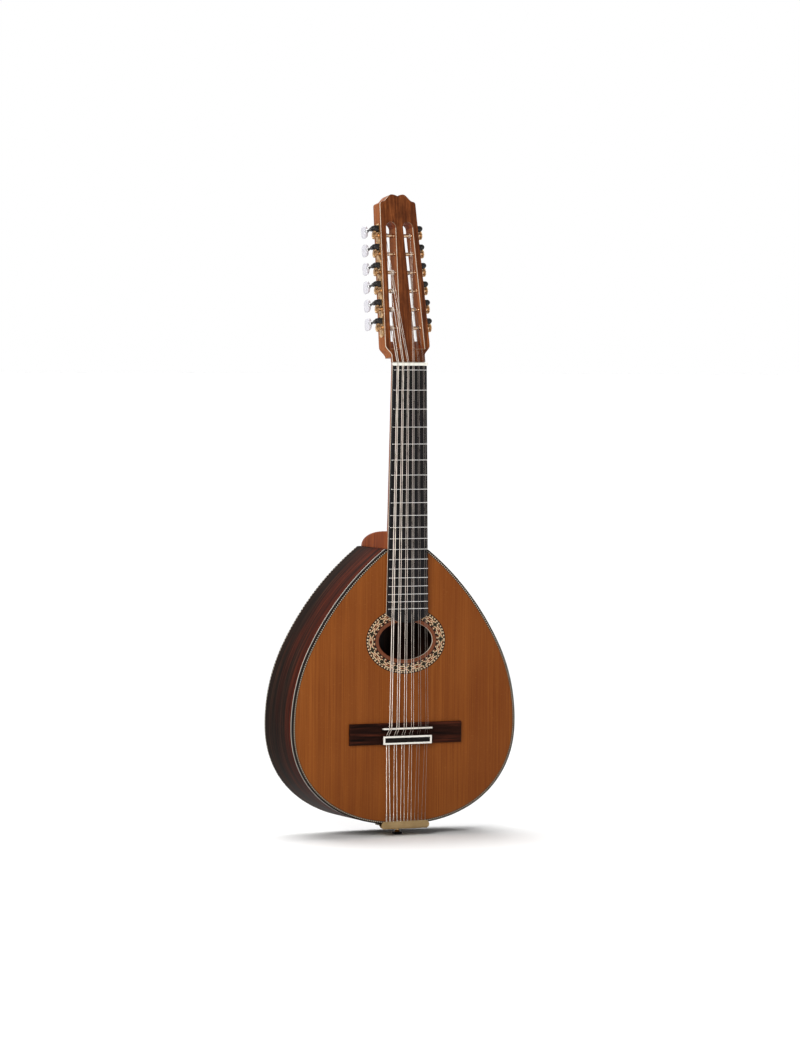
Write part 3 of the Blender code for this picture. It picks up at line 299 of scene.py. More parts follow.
# Worked out from the sizes above
JOINT_DOWN = fret_down(JOINT_FRET)
WIDEST_DOWN = JOINT_DOWN + WIDEST_BELOW_JOINT
TAIL_DOWN = WIDEST_DOWN + TAIL_HEIGHT
HOLE_DOWN = JOINT_DOWN + HOLE_BELOW_JOINT
BOARD_CORNER_DOWN = fret_down(FRETS) + BOARD_PAST_FRETS
BOARD_TIP_DOWN = BOARD_CORNER_DOWN + BOARD_END_BULGE
SADDLE_DOWN = SCALE_LENGTH + SADDLE_SETBACK
BRIDGE_DOWN = SADDLE_DOWN - BRIDGE_BEFORE_SADDLE
BRIDGE_BLOCK_WIDTH = (COURSES - 1) * TIE_COURSE_SPACING + TIE_PAIR_SPACING + 2 * BRIDGE_BLOCK_EDGE
TIE_HOLE_HEIGHT = TIE_BLOCK_HEIGHT - TIE_HOLE_BELOW
NUT_COURSE_SPACING = (BOARD_WIDTH_ZERO - 2 * NUT_EDGE - NUT_PAIR_SPACING) / (COURSES - 1)
HOOK_SPACING = (TAILPIECE_WIDTH - 2 * HOOK_EDGE) / (STRINGS - 1)
TAILPIECE_TOP = TAIL_DOWN - TAILPIECE_RISE
FLANGE_BOTTOM = TAIL_DOWN + GAP + TAILPIECE_SHEET
FRET_TOP = BOARD_THICKNESS + FRET_HEIGHT
NUT_TOP_UP = NUT_ABOVE_FRET + NUT_LENGTH
HEAD_CORE_DEPTH = HEAD_FACE_VENEER + HEAD_LIGHT_VENEER + 2 * GAP
SLOT_TOP = FIRST_ROLLER_UP + (MACHINES - 1) * ROLLER_SPACING + SLOT_ABOVE_ROLLER
HEAD_CORNER_UP = SLOT_TOP + CORNER_ABOVE_SLOT
CREST_PEAK_UP = HEAD_CORNER_UP + CREST_ABOVE_CORNER
SIDE_TAPER = math.atan2(HEAD_WIDE_HALF - HEAD_CORNER_HALF, HEAD_CORNER_UP - HEAD_WIDE_UP)
SLOT_WIDTH = HEAD_WIDE_HALF - (SLOT_TOP - HEAD_WIDE_UP) * math.tan(SIDE_TAPER) - SLOT_WALL - SLOT_WEB_HALF
WORM_ABOVE_ROLLER = GEAR_PITCH_RADIUS + WORM_PITCH_RADIUS + WORM_CLEARANCE
WORM_LEAD = 2 * math.pi * GEAR_PITCH_RADIUS / GEAR_TEETH
THROAT_UP = NUT_TOP_UP + THROAT_LOW * math.cos(HEAD_TILT)
THROAT_DEPTH = 8 * MM
RIM_INSET = SIDE_THICKNESS + GAP
ROPE_START = BINDING_TOP_WIDTH + EDGE_LINE
LINE_START = ROPE_START + ROPE_WIDTH
TOP_INSET = LINE_START + INNER_LINE

# The photograph's frame, for the camera
PICTURE_HEIGHT = 1040
PICTURE_CENTRE = (400, 520)
FOCAL_PIXELS = 4661
SENSOR_SIZE = 36
THROAT_PIXEL = (409.15, 362)
CAMERA_YAW = math.radians(26.6)
CAMERA_ELEVATION = math.radians(0.7)
CAMERA_ROLL = math.radians(-0.565)
CAMERA_DISTANCE = 6.565
CAMERA_AIM = (0, -THROAT_DEPTH, -9.5 * MM)

DRAWING = Matrix.Translation((0, -THROAT_DEPTH, -THROAT_UP))
HEAD = DRAWING @ Matrix.Translation((0, HEAD_FACE_DEPTH, NUT_TOP_UP)) @ Matrix.Rotation(-HEAD_TILT, 4, "X")
SIDES = {
    side: HEAD
    @ Matrix.Translation((side * HEAD_WIDE_HALF, 0, HEAD_WIDE_UP))
    @ Matrix.Rotation(-side * SIDE_TAPER, 4, "Y")
    for side in (-1, 1)
}
LABELS = {-1: "left", 1: "right"}


def node(tree, kind, output, inputs=(), **settings):
    """A new shader node's output. Its inputs are given as values or as other nodes' outputs."""
    made = tree.nodes.new("ShaderNode" + kind)
    for name, value in settings.items():
        setattr(made, name, value)
    for name, value in dict(inputs).items():
        if isinstance(value, bpy.types.NodeSocket):
            tree.links.new(value, made.inputs[name])
        else:
            made.inputs[name].default_value = value
    return made.outputs[output]


class Finish:
    """A material being made: one Principled shader, and short calls for the nodes that feed it."""

    def __init__(self, name, roughness, metallic=0.0, specular=0.5, coat=0.0, coat_roughness=0.1):
        self.material = bpy.data.materials.new(name)
        self.material.use_nodes = True
        self.tree = self.material.node_tree
        self.inputs = self.tree.nodes["Principled BSDF"].inputs
        self.inputs["Roughness"].default_value = roughness
        self.inputs["Metallic"].default_value = metallic
        self.inputs["Specular IOR Level"].default_value = specular
        self.inputs["Coat Weight"].default_value = coat
        self.inputs["Coat Roughness"].default_value = coat_roughness
        self.place = node(self.tree, "TexCoord", "Object")

    def noise(self, x, y, z, detail=3, roughness=0.55, distortion=0.0):
        """Noise from 0 to 1, with so many features a metre along each of the piece's axes."""
        spot = node(self.tree, "Mapping", "Vector", {"Vector": self.place, "Scale": (x, y, z)})
        inputs = {"Vector": spot, "Scale": 1, "Detail": detail}
        inputs |= {"Roughness": roughness, "Distortion": distortion}
        return node(self.tree, "TexNoise", "Fac", inputs)

    def spread(self, factor, low, high, to_low=0.0, to_high=1.0):
        """A factor carried from one range to another, and held inside it."""
        inputs = {"Value": factor, "From Min": low, "From Max": high, "To Min": to_low, "To Max": to_high}
        return node(self.tree, "MapRange", "Result", inputs)

    def combine(self, operation, first, second):
        """Arithmetic on two factors, or on a factor and a number."""
        return node(self.tree, "Math", "Value", {0: first, 1: second}, operation=operation)

    def ramp(self, factor, *stops):
        """A colour for each value of a factor, from pairs of a place and a colour."""
        colour = node(self.tree, "ValToRGB", "Color", {"Fac": factor})
        elements = colour.node.color_ramp.elements
        while len(elements) < len(stops):
            elements.new(0.5)
        for element, (spot, shade) in zip(elements, stops):
            element.position = spot
            element.color = (*shade, 1.0)
        return colour

    def over(self, colour, factor, low, high, share, upper):
        """Another colour laid over the first, up to a share of it, as a factor goes from low to high."""
        upper = (*upper, 1.0) if isinstance(upper, tuple) else upper
        inputs = {0: self.spread(factor, low, high, 0.0, share), 6: colour, 7: upper}
        return node(self.tree, "Mix", 2, inputs, data_type="RGBA")

    def done(self, colour, spots=None, smoothest=0.0, roughest=0.0, relief=None, depth=0.0):
        """The material: its colour, its roughness as spots go from 0.3 to 0.7, its relief's real depth."""
        self.tree.links.new(colour, self.inputs["Base Color"])
        if spots:
            self.tree.links.new(self.spread(spots, 0.3, 0.7, smoothest, roughest), self.inputs["Roughness"])
        if relief:
            bump = node(self.tree, "Bump", "Normal", {"Height": relief, "Strength": 1.0, "Distance": depth})
            self.tree.links.new(bump, self.inputs["Normal"])
        return self.material


def cedar_top():
    """Lacquered cedar: fine upright grain, faint wide bands and small cross flecks."""
    look = Finish("cedar_top", 0.42, specular=0.08)
    grain = look.noise(520, 10, 3, roughness=0.65)
    fine = look.noise(1700, 30, 14, 2)
    bands = look.noise(46, 3, 0.7, 2, 0.5)
    patches = look.noise(9, 3, 7, 2)
    flecks = look.noise(210, 30, 520, 2)
    pale, plain, dark = (0.33, 0.105, 0.02), (0.245, 0.067, 0.0105), (0.15, 0.036, 0.0055)
    wood = look.ramp(grain, (0.25, dark), (0.5, plain), (0.78, pale))
    wood = look.over(wood, bands, 0.36, 0.62, 0.55, (0.175, 0.042, 0.007))
    wood = look.over(wood, patches, 0.35, 0.7, 0.3, (0.34, 0.108, 0.021))
    wood = look.over(wood, fine, 0.45, 0.7, 0.4, (0.13, 0.03, 0.006))
    wood = look.over(wood, flecks, 0.6, 0.8, 0.3, (0.4, 0.15, 0.04))
    return look.done(wood, fine, 0.38, 0.48, grain, 0.03 * MM)


def ring_cedar():
    """The plain ring of redder, darker wood between the rosette and the soundhole."""
    look = Finish("ring_cedar", 0.42, specular=0.1)
    grain = look.noise(520, 20, 8, roughness=0.6)
    wood = look.ramp(grain, (0.3, (0.12, 0.034, 0.015)), (0.7, (0.22, 0.072, 0.034)))
    return look.done(wood, grain, 0.38, 0.48, grain, 0.03 * MM)


def inner_wood():
    """Bare spruce and cedar inside the box."""
    look = Finish("inner_wood", 0.7, specular=0.25)
    grain = look.noise(300, 300, 8)
    wood = look.ramp(grain, (0.3, (0.24, 0.12, 0.05)), (0.7, (0.36, 0.2, 0.09)))
    return look.done(wood, relief=grain, depth=0.05 * MM)


def side_rosewood():
    """Dark streaked rosewood round the sides: near black behind, redder towards the front."""
    look = Finish("side_rosewood", 0.5, specular=0.01)
    wander = look.noise(6, 6, 6, 2)
    streak = look.noise(8, 300, 8, 4, 0.6, 0.25)
    band = look.noise(4, 70, 4, 3, 0.5, 0.3)
    pores = look.noise(50, 1500, 50, 2)
    blacks = (0.0055, 0.004, 0.0034), (0.02, 0.0115, 0.0085), (0.055, 0.027, 0.018)
    reds = (0.016, 0.0042, 0.0025), (0.07, 0.0118, 0.0055), (0.17, 0.031, 0.013)
    dark = look.ramp(streak, *zip((0.32, 0.55, 0.75), blacks))
    warm = look.ramp(streak, *zip((0.3, 0.5, 0.72), reds))
    depth = node(look.tree, "SeparateXYZ", "Y", {"Vector": look.place})
    front = look.spread(depth, 58 * MM, 4 * MM)
    share = look.combine("MULTIPLY", front, 0.75)
    share = look.combine("ADD", share, look.spread(band, 0.35, 0.7, -0.25, 0.45))
    share = look.combine("ADD", share, look.spread(wander, 0.3, 0.7, -0.15, 0.15))
    wood = look.over(dark, share, 0.1, 0.95, 1.0, warm)
    wood = look.over(wood, pores, 0.58, 0.75, 0.5, PORE)
    return look.done(wood, streak, 0.40, 0.54, pores, 0.03 * MM)


def back_rosewood():
    """The back's two halves of dark figured rosewood, lacquered."""
    look = Finish("back_rosewood", 0.36, specular=0.14)
    streak = look.noise(260, 6, 5, 4, 0.6, 0.3)
    band = look.noise(38, 3, 2.2, distortion=0.5)
    pores = look.noise(1300, 40, 40, 2)
    browns = (0.014, 0.007, 0.005), (0.055, 0.018, 0.011), (0.12, 0.036, 0.02)
    wood = look.ramp(streak, *zip((0.3, 0.52, 0.75), browns))
    wood = look.over(wood, band, 0.35, 0.65, 0.8, (0.02, 0.009, 0.007))
    wood = look.over(wood, pores, 0.58, 0.75, 0.5, PORE)
    return look.done(wood, streak, 0.28, 0.4, pores, 0.03 * MM)


def mahogany(name, stain_and_shade):
    """Orange-brown mahogany with short dark pores and a soft ribbon, darkened by a stain's colour, which also
    stands for painted shade where the darker copy lines the head's slots.
    """
    look = Finish(name, 0.42, specular=0.05)
    grain = look.noise(240, 240, 9, 4, 0.6)
    ribbon = look.noise(60, 60, 3, 2)
    pores = look.noise(900, 900, 45, 2)
    bare = [(0.17, 0.04, 0.009), (0.31, 0.088, 0.022), (0.45, 0.155, 0.045)]
    bare += [(0.42, 0.14, 0.038), (0.12, 0.03, 0.008)]
    *browns, soft, pore = [tuple(part * share for part, share in zip(colour, stain_and_shade)) for colour in bare]
    wood = look.ramp(grain, *zip((0.28, 0.5, 0.74), browns))
    wood = look.over(wood, ribbon, 0.4, 0.65, 0.4, soft)
    wood = look.over(wood, pores, 0.6, 0.74, 0.55, pore)
    return look.done(wood, pores, 0.36, 0.48, pores, 0.04 * MM)


def head_rosewood():
    """The head's reddish face veneer, mottled and streaked upwards, darker in patches."""
    look = Finish("head_rosewood", 0.42, specular=0.08)
    streak = look.noise(260, 260, 11, 4, 0.62, 0.3)
    mottle = look.noise(85, 85, 40, 4, 0.65)
    pores = look.noise(900, 900, 70, 2)
    browns = (0.035, 0.009, 0.0034), (0.165, 0.044, 0.0125), (0.38, 0.12, 0.036)
    wood = look.ramp(streak, *zip((0.3, 0.5, 0.74), browns))
    wood = look.over(wood, mottle, 0.36, 0.62, 0.65, (0.055, 0.014, 0.005))
    wood = look.over(wood, pores, 0.58, 0.75, 0.5, (0.02, 0.006, 0.003))
    return look.done(wood, streak, 0.36, 0.48, pores, 0.03 * MM)


def bridge_rosewood():
    """Very dark rosewood with reddish streaks along the bridge."""
    look = Finish("bridge_rosewood", 0.45, specular=0.02)
    streak = look.noise(9, 220, 220, 4, 0.6, 0.5)
    pores = look.noise(70, 1300, 1300, 2)
    browns = (0.006, 0.003, 0.0025), (0.026, 0.0085, 0.0055), (0.095, 0.023, 0.012)
    wood = look.ramp(streak, *zip((0.34, 0.55, 0.75), browns))
    wood = look.over(wood, pores, 0.58, 0.75, 0.45, PORE)
    return look.done(wood, streak, 0.4, 0.52, pores, 0.03 * MM)


def board_ebony():
    """Close-grained ebony, nearly black, rubbed to a soft sheen."""
    look = Finish("board_ebony", 0.48, specular=0.08)
    streak = look.noise(420, 420, 12, roughness=0.6)
    pores = look.noise(1600, 1600, 120, 2)
    blacks = (0.006, 0.0055, 0.006), (0.012, 0.011, 0.0125), (0.02, 0.017, 0.018)
    wood = look.ramp(streak, *zip((0.3, 0.6, 0.8), blacks))
    wood = look.over(wood, pores, 0.6, 0.75, 0.5, (0.004, 0.004, 0.004))
    return look.done(wood, streak, 0.4, 0.54, pores, 0.03 * MM)


def tinted(name, dark, light, roughness, scale, relief, specular, metallic=0.0):
    """A close, slightly uneven surface between two near colours. Its relief is in millimetres."""
    look = Finish(name, roughness, metallic, specular)
    cloud = look.noise(scale, scale, scale, 4, 0.6)
    shade = look.ramp(cloud, (0.3, dark), (0.7, light))
    return look.done(shade, cloud, roughness - 0.04, roughness + 0.06, cloud, relief * MM)


def pearl_button():
    """Pale pearloid: soft swirls under a polished face."""
    look = Finish("pearl_button", 0.2, specular=0.3, coat=0.3, coat_roughness=0.06)
    swirl = look.noise(150, 220, 120, 3, 0.6, 1.6)
    cloud = look.noise(420, 420, 420, 2)
    greys = (0.56, 0.56, 0.62), (0.71, 0.71, 0.77), (0.84, 0.83, 0.87)
    shell = look.ramp(swirl, *zip((0.3, 0.5, 0.72), greys))
    shell = look.over(shell, cloud, 0.45, 0.7, 0.25, (0.78, 0.7, 0.73))
    return look.done(shell, swirl, 0.16, 0.3)


def gilt_brass():
    """Gold-plated brass with faint turning marks and a little tarnish."""
    look = Finish("gilt_brass", 0.26, 1.0)
    marks = look.noise(900, 900, 900)
    tarnish = look.noise(150, 150, 150)
    golds = (0.15, 0.075, 0.03), (0.56, 0.34, 0.16), (0.92, 0.68, 0.41)
    metal = look.ramp(tarnish, *zip((0.3, 0.55, 0.8), golds))
    return look.done(metal, marks, 0.18, 0.38, marks, 0.01 * MM)


def roller_brass():
    """The rollers' duller brass, with marks round them."""
    look = Finish("roller_brass", 0.2, 1.0)
    marks = look.noise(1200, 300, 300)
    metal = look.ramp(marks, (0.3, (0.42, 0.27, 0.16)), (0.7, (0.68, 0.48, 0.32)))
    return look.done(metal, marks, 0.16, 0.26, marks, 0.01 * MM)


def tailpiece_brass():
    """Rolled brass gone matte and khaki, with fine brushing across it."""
    look = Finish("tailpiece_brass", 0.55, 0.25, 0.15)
    brushing = look.noise(40, 1400, 1400)
    tarnish = look.noise(60, 60, 60, 4)
    khakis = (0.29, 0.195, 0.085), (0.39, 0.265, 0.125), (0.46, 0.33, 0.17)
    metal = look.ramp(tarnish, *zip((0.3, 0.55, 0.8), khakis))
    metal = look.over(metal, brushing, 0.4, 0.7, 0.3, (0.22, 0.15, 0.065))
    return look.done(metal, brushing, 0.48, 0.62, brushing, 0.01 * MM)


def wire(name, dark, light, wrap):
    """Drawn or wrapped wire. wrap is the wrapping's turns a metre along the string, or 0."""
    look = Finish(name, 0.3, 1.0)
    spots = look.noise(400, 400, 60)
    metal = look.ramp(spots, (0.3, dark), (0.7, light))
    relief = None
    if wrap:
        inputs = {"Vector": look.place, "Scale": wrap * math.pi / 10}
        relief = node(look.tree, "TexWave", "Fac", inputs, bands_direction="Z")
    return look.done(metal, spots, 0.24, 0.38, relief, 0.05 * MM)


def make_looks():
    """Every material by a short name."""
    looks = {
        "cedar": cedar_top(),
        "ring": ring_cedar(),
        "inner": inner_wood(),
        "side": side_rosewood(),
        "back": back_rosewood(),
        "mahogany": mahogany("head_mahogany", (1.0, 1.0, 1.0)),
        # The neck's darker mahogany, also used as painted shade on the head core's slot walls.
        "neck": mahogany("neck_and_slot_shade_mahogany", (0.66, 0.45, 0.3)),
        "head": head_rosewood(),
        "bridge": bridge_rosewood(),
        "ebony": board_ebony(),
        "pearl": pearl_button(),
        "gilt": gilt_brass(),
        "roller": roller_brass(),
        "tailpiece": tailpiece_brass(),
        "plain_wire": wire("plain_wire", (0.2, 0.17, 0.15), (0.4, 0.35, 0.31), 0),
        "wound_wire": wire("wound_wire", (0.5, 0.44, 0.39), (0.84, 0.74, 0.65), 3600),
    }
    # Each name with its dark and light colours, roughness, scale, relief, specular level and metallic
    tints = [
        ("light_veneer", (0.7, 0.58, 0.44), (0.88, 0.79, 0.66), 0.45, 400, 0.02, 0.15),
        ("black_binding", (0.005, 0.004, 0.004), (0.014, 0.011, 0.01), 0.35, 300, 0.01, 0.04),
        ("white_line", (0.6, 0.55, 0.46), (0.78, 0.73, 0.64), 0.45, 500, 0.01, 0.15),
        ("dark_inlay", (0.008, 0.005, 0.004), (0.024, 0.014, 0.009), 0.45, 600, 0.02, 0.1),
        ("rope_inlay", (0.36, 0.29, 0.21), (0.56, 0.48, 0.37), 0.45, 600, 0.02, 0.1),
        # veneer_slot_shade is a painted shade: a dark brown for the light veneer's slot walls that lie in
        # shade.
        ("veneer_slot_shade", (0.2, 0.1, 0.045), (0.32, 0.18, 0.09), 0.45, 400, 0.02, 0.1),
        ("red_inlay", (0.2, 0.055, 0.025), (0.34, 0.11, 0.052), 0.45, 600, 0.02, 0.1),
        ("cream_inlay", (0.54, 0.38, 0.22), (0.82, 0.61, 0.39), 0.45, 600, 0.02, 0.12),
        ("green_inlay", (0.03, 0.036, 0.018), (0.06, 0.07, 0.035), 0.45, 600, 0.02, 0.1),
        ("polished_bone", (0.88, 0.85, 0.77), (0.95, 0.93, 0.87), 0.3, 260, 0.02, 0.45),
        ("black_steel", (0.012, 0.011, 0.011), (0.035, 0.032, 0.03), 0.26, 500, 0.01, 0.5, 0.6),
        ("turned_steel", (0.42, 0.42, 0.43), (0.62, 0.62, 0.63), 0.26, 700, 0.01, 0.5, 1.0),
        ("fret_nickel", (0.6, 0.59, 0.57), (0.78, 0.77, 0.75), 0.2, 600, 0.01, 0.5, 1.0),
    ]
    for tint in tints:
        looks[tint[0]] = tinted(*tint)
    return looks


def added(name, data, place=Matrix.Identity(4)):
    """A new object in the scene, at its place."""
    made = bpy.data.objects.new(name, data)
    bpy.context.scene.collection.objects.link(made)
    made.matrix_world = place
    return made


def lofts(name, groups, looks, place=DRAWING, closed=False, paint=None, smooth=True, sharp=32):
    """A piece of one or more skins over rings, each capped at its ends or closed on itself.

    looks is a material, or a list of them from which paint(i, j) picks by ring and by side.
    """
    mesh = bpy.data.meshes.new(name)
    shape = bmesh.new()
    for group in groups:
        rings = [[shape.verts.new(point) for point in ring] for ring in group]
        following = rings[1:] + rings[:1] if closed else rings[1:]
        for i, (this, other) in enumerate(zip(rings, following)):
            for j, corner in enumerate(this):
                k = (j + 1) % len(this)
                face = shape.faces.new((corner, this[k], other[k], other[j]))
                face.material_index = paint(i, j) if paint else 0
        if not closed:
            shape.faces.new(rings[0])
            shape.faces.new(rings[-1])
    bmesh.ops.recalc_face_normals(shape, faces=shape.faces)
    shape.to_mesh(mesh)
    shape.free()
    for look in looks if isinstance(looks, list) else [looks]:
        mesh.materials.append(look)
    if smooth:
        mesh.shade_smooth()
        mesh.set_sharp_from_angle(angle=math.radians(sharp))
    return added(name, mesh, place)


def loft(name, rings, *looks_and_place, **settings):
    """A piece of one skin over rings."""
    return lofts(name, [rings], *looks_and_place, **settings)


def seat(piece, body, slot, *nodes):
    """Gives a piece its body and hides the CAD nodes that it stands for. The slot argument is not used."""
    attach(piece, body)
    if nodes:
        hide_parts(*nodes)
    return piece


def between(first, last, share):
    """A number part of the way from one to another."""
    return first + (last - first) * share


def ease(t):
    """A smooth step from 0 to 1."""
    return t * t * (3 - 2 * t)


def mirrored(half):
    """Rows that start with their place across, for the left side and then the right."""
    return [(-x, *rest) for x, *rest in half] + [(x, *rest) for x, *rest in reversed(half)]


def squared(value, power):
    """A sine or cosine pushed outwards by a power under 1, for a squarer curve."""
    return math.copysign(abs(value) ** power, value)


def arc(x, z, across, up, start, end, steps, power=1.0):
    """Places on an ellipse round a centre, from one angle to another, squarer by a power under 1."""
    turns = [between(start, end, i / steps) for i in range(steps + 1)]
    return [(x + across * squared(math.cos(t), power), z + up * squared(math.sin(t), power)) for t in turns]


def circle(radius, sides):
    """Places round the origin."""
    return arc(0, 0, radius, radius, 0, 2 * math.pi, sides)[:-1]


def drawn_in(outline, amount):
    """A closed outline moved inwards, square to its edges."""
    spots = [Vector(spot) for spot in outline]
    following = spots[1:] + spots[:1]
    area = sum(a.x * b.y - b.x * a.y for a, b in zip(spots, following))
    amount = math.copysign(amount, area)
    moved = []
    for before, here, after in zip(spots[-1:] + spots, spots, following):
        arriving, leaving = (here - before).normalized(), (after - here).normalized()
        along = (arriving + leaving).normalized()
        moved.append(tuple(here + Vector((-along.y, along.x)) * amount / max(0.4, along.dot(leaving))))
    return moved


def eased_steps(front, back, easing, steps=3):
    """Places through a thickness, each with how far the outline draws in there."""
    turns = [math.pi / 2 * i / steps for i in range(steps + 1)]
    corner = [(easing * (1 - math.sin(t)), easing * (1 - math.cos(t))) for t in turns]
    front_steps = [(front + depth, inset) for depth, inset in reversed(corner)]
    return front_steps + [(back - depth, inset) for depth, inset in corner]


def plate_rings(outline, front, back, easing=EASING):
    """Rings of an outline of x and z through a thickness of y, with its edges eased."""
    steps = eased_steps(front, back, easing)
    return [[(x, depth, z) for x, z in drawn_in(outline, inset)] for depth, inset in steps]


def at_depths(places):
    """Points from places across and up, each with its depth."""
    return [(x, depth, z) for (x, z), depth in places]


def hoop(name, outer, inner, front, back, looks, easing=0.0, paint=None):
    """The closed band between two outlines with as many points, its outer front edge eased."""
    turns = [math.pi / 8 * i for i in range(5)] if easing else [0.0]
    rings = []
    for (xo, zo), (xi, zi) in zip(outer, inner):
        reach = Vector((xi - xo, zi - zo)).normalized() * abs(easing)
        ring = [(xo, back, zo)]
        for turn in turns:
            inset = 1 - math.cos(turn)
            ring.append((xo + reach.x * inset, front + easing * (1 - math.sin(turn)), zo + reach.y * inset))
        rings.append(ring + [(xi, front, zi), (xi, back, zi)])
    return loft(name, rings, looks, closed=True, paint=paint)


def pair_places(course_spacing, pair_spacing):
    """Where the strings cross, from the lowest course on the left to the highest."""
    middle = (COURSES - 1) / 2
    return [
        (course - middle) * course_spacing + side * pair_spacing / 2
        for course in range(COURSES)
        for side in (-1, 1)
    ]


def board_half_width(down):
    """Half the fingerboard's width at a place down the string."""
    slope = (BOARD_WIDTH_JOINT - BOARD_WIDTH_ZERO) / JOINT_DOWN
    return (BOARD_WIDTH_ZERO + slope * down) / 2


def bout_arc():
    """The bout's angle up from the widest place to where the shoulder's arc takes over."""
    across = JOINT_HALF_WIDTH - LOWER_HALF_WIDTH + BOUT_RADIUS
    distance = math.hypot(across, WIDEST_BELOW_JOINT)
    offset = SHOULDER_RADIUS - BOUT_RADIUS
    reach = (SHOULDER_RADIUS**2 - offset**2 - distance**2) / (2 * offset)
    return math.atan2(WIDEST_BELOW_JOINT, across) - math.acos(reach / distance)


def body_half_outline(inset=0.0):
    """The right half of the body's outline, from the neck joint down to the tail, drawn in by inset."""
    turn = bout_arc()
    offset = SHOULDER_RADIUS - BOUT_RADIUS
    bout_x = LOWER_HALF_WIDTH - BOUT_RADIUS
    shoulder_x, shoulder_z = bout_x - offset * math.cos(turn), -WIDEST_DOWN - offset * math.sin(turn)
    reach = SHOULDER_RADIUS - inset
    start = math.asin((-JOINT_DOWN - inset - shoulder_z) / reach)
    points = arc(shoulder_x, shoulder_z, reach, reach, start, turn, 30)[:-1]
    reach = BOUT_RADIUS - inset
    points += arc(bout_x, -WIDEST_DOWN, reach, reach, turn, 0, 26)[:-1]
    for across, down in arc(0, 0, 1, 1, 0, math.pi / 2, 46)[:-1] + [(0, 1)]:
        across, down = across ** (2 / TAIL_FULLNESS), down ** (2 / TAIL_FULLNESS)
        lean_x = across ** (TAIL_FULLNESS - 1) / LOWER_HALF_WIDTH
        lean = Vector((lean_x, down ** (TAIL_FULLNESS - 1) / TAIL_HEIGHT)).normalized()
        z = -WIDEST_DOWN - TAIL_HEIGHT * down + inset * lean.y
        points.append((LOWER_HALF_WIDTH * across - inset * lean.x, z))
    return points


def body_outline(inset=0.0):
    """The whole outline, round from the neck joint's right corner to its left one and back."""
    half = body_half_outline(inset)
    corner, top = half[0]
    across = [(-corner + 2 * corner * i / 14, top) for i in range(1, 14)]
    return half + [(-x, z) for x, z in reversed(half[:-1])] + across


def marks(line, count):
    """Where count even steps along a line of places fall, each as a segment and a share of it."""
    lengths = [0.0]
    for a, b in zip(line, line[1:]):
        lengths.append(lengths[-1] + math.dist(a, b))
    found, segment = [], 0
    for i in range(count):
        goal = lengths[-1] * i / count
        while lengths[segment + 1] < goal:
            segment += 1
        found.append((segment, (goal - lengths[segment]) / (lengths[segment + 1] - lengths[segment])))
    return found


def even(outline, tile):
    """A closed outline again, in an even number of steps about a tile long."""
    loop = outline + outline[:1]
    count = 2 * round(sum(math.dist(a, b) for a, b in zip(loop, loop[1:])) / (2 * tile))
    return [tuple(Vector(loop[i]).lerp(Vector(loop[i + 1]), share)) for i, share in marks(loop, count)]


def oval_point(growth, turn):
    """A place on the soundhole's outline, grown all round."""
    across = HOLE_WIDTH / 2 + growth
    up = HOLE_HEIGHT / 2 + growth
    return (across * math.cos(turn), up * math.sin(turn) - HOLE_DOWN)


def oval_towards(growth, target):
    """Where the grown outline meets the line from the hole's middle to a place."""
    across = HOLE_WIDTH / 2 + growth
    up = HOLE_HEIGHT / 2 + growth
    return oval_point(growth, math.atan2((target[1] + HOLE_DOWN) / up, target[0] / across))


def oval_turns(growth, count, fine=2000):
    """The oval's own angles at count even steps round it, found from a finer oval."""
    spots = [oval_point(growth, 2 * math.pi * i / fine) for i in range(fine + 1)]
    return [2 * math.pi * (segment + share) / fine for segment, share in marks(spots, count)]


def make_soundboard(looks):
    """The cedar soundboard inside its edge lines, with the rosette's channel and the soundhole."""
    rings = []
    for edge in body_outline(TOP_INSET):
        rim, margin, lip, bevel, hole = [
            oval_towards(growth, edge)
            for growth in (ROSETTE_MARGIN + ROSETTE_WIDTH, ROSETTE_MARGIN, EASING, EASING * 0.3, 0.0)
        ]
        ring = [(edge, TOP_THICKNESS), (edge, 0.0)]
        ring += [(Vector(edge).lerp(Vector(rim), share), 0.0) for share in (0.25, 0.5, 0.75)]
        ring += [(rim, 0.0), (rim, ROSETTE_THICKNESS), (margin, ROSETTE_THICKNESS), (margin, 0.0)]
        ring += [(lip, 0.0), (bevel, EASING * 0.3), (hole, EASING), (hole, TOP_THICKNESS)]
        rings.append(at_depths(ring))
    shown = {8: 1, 9: 1, 10: 1, 11: 2, 12: 3}
    woods = [looks["cedar"], looks["ring"], looks["light_veneer"], looks["inner"]]
    board = loft("soundboard_top", rings, woods, closed=True, paint=lambda i, j: shown.get(j, 0))
    seat(board, "instrument", "cedar", "soundboard")


def mosaic_tile(column, row):
    """The middle band's tile: dark crosses and red-centred lozenges by turns, light on dark."""
    from_cross = min(column, MOSAIC_MOTIF - column)
    from_middle = abs(row - MOSAIC_ROWS // 2)
    return ("kkk", "gkc", "kcr", "rck", "crc", "rkc")[from_cross][from_middle]


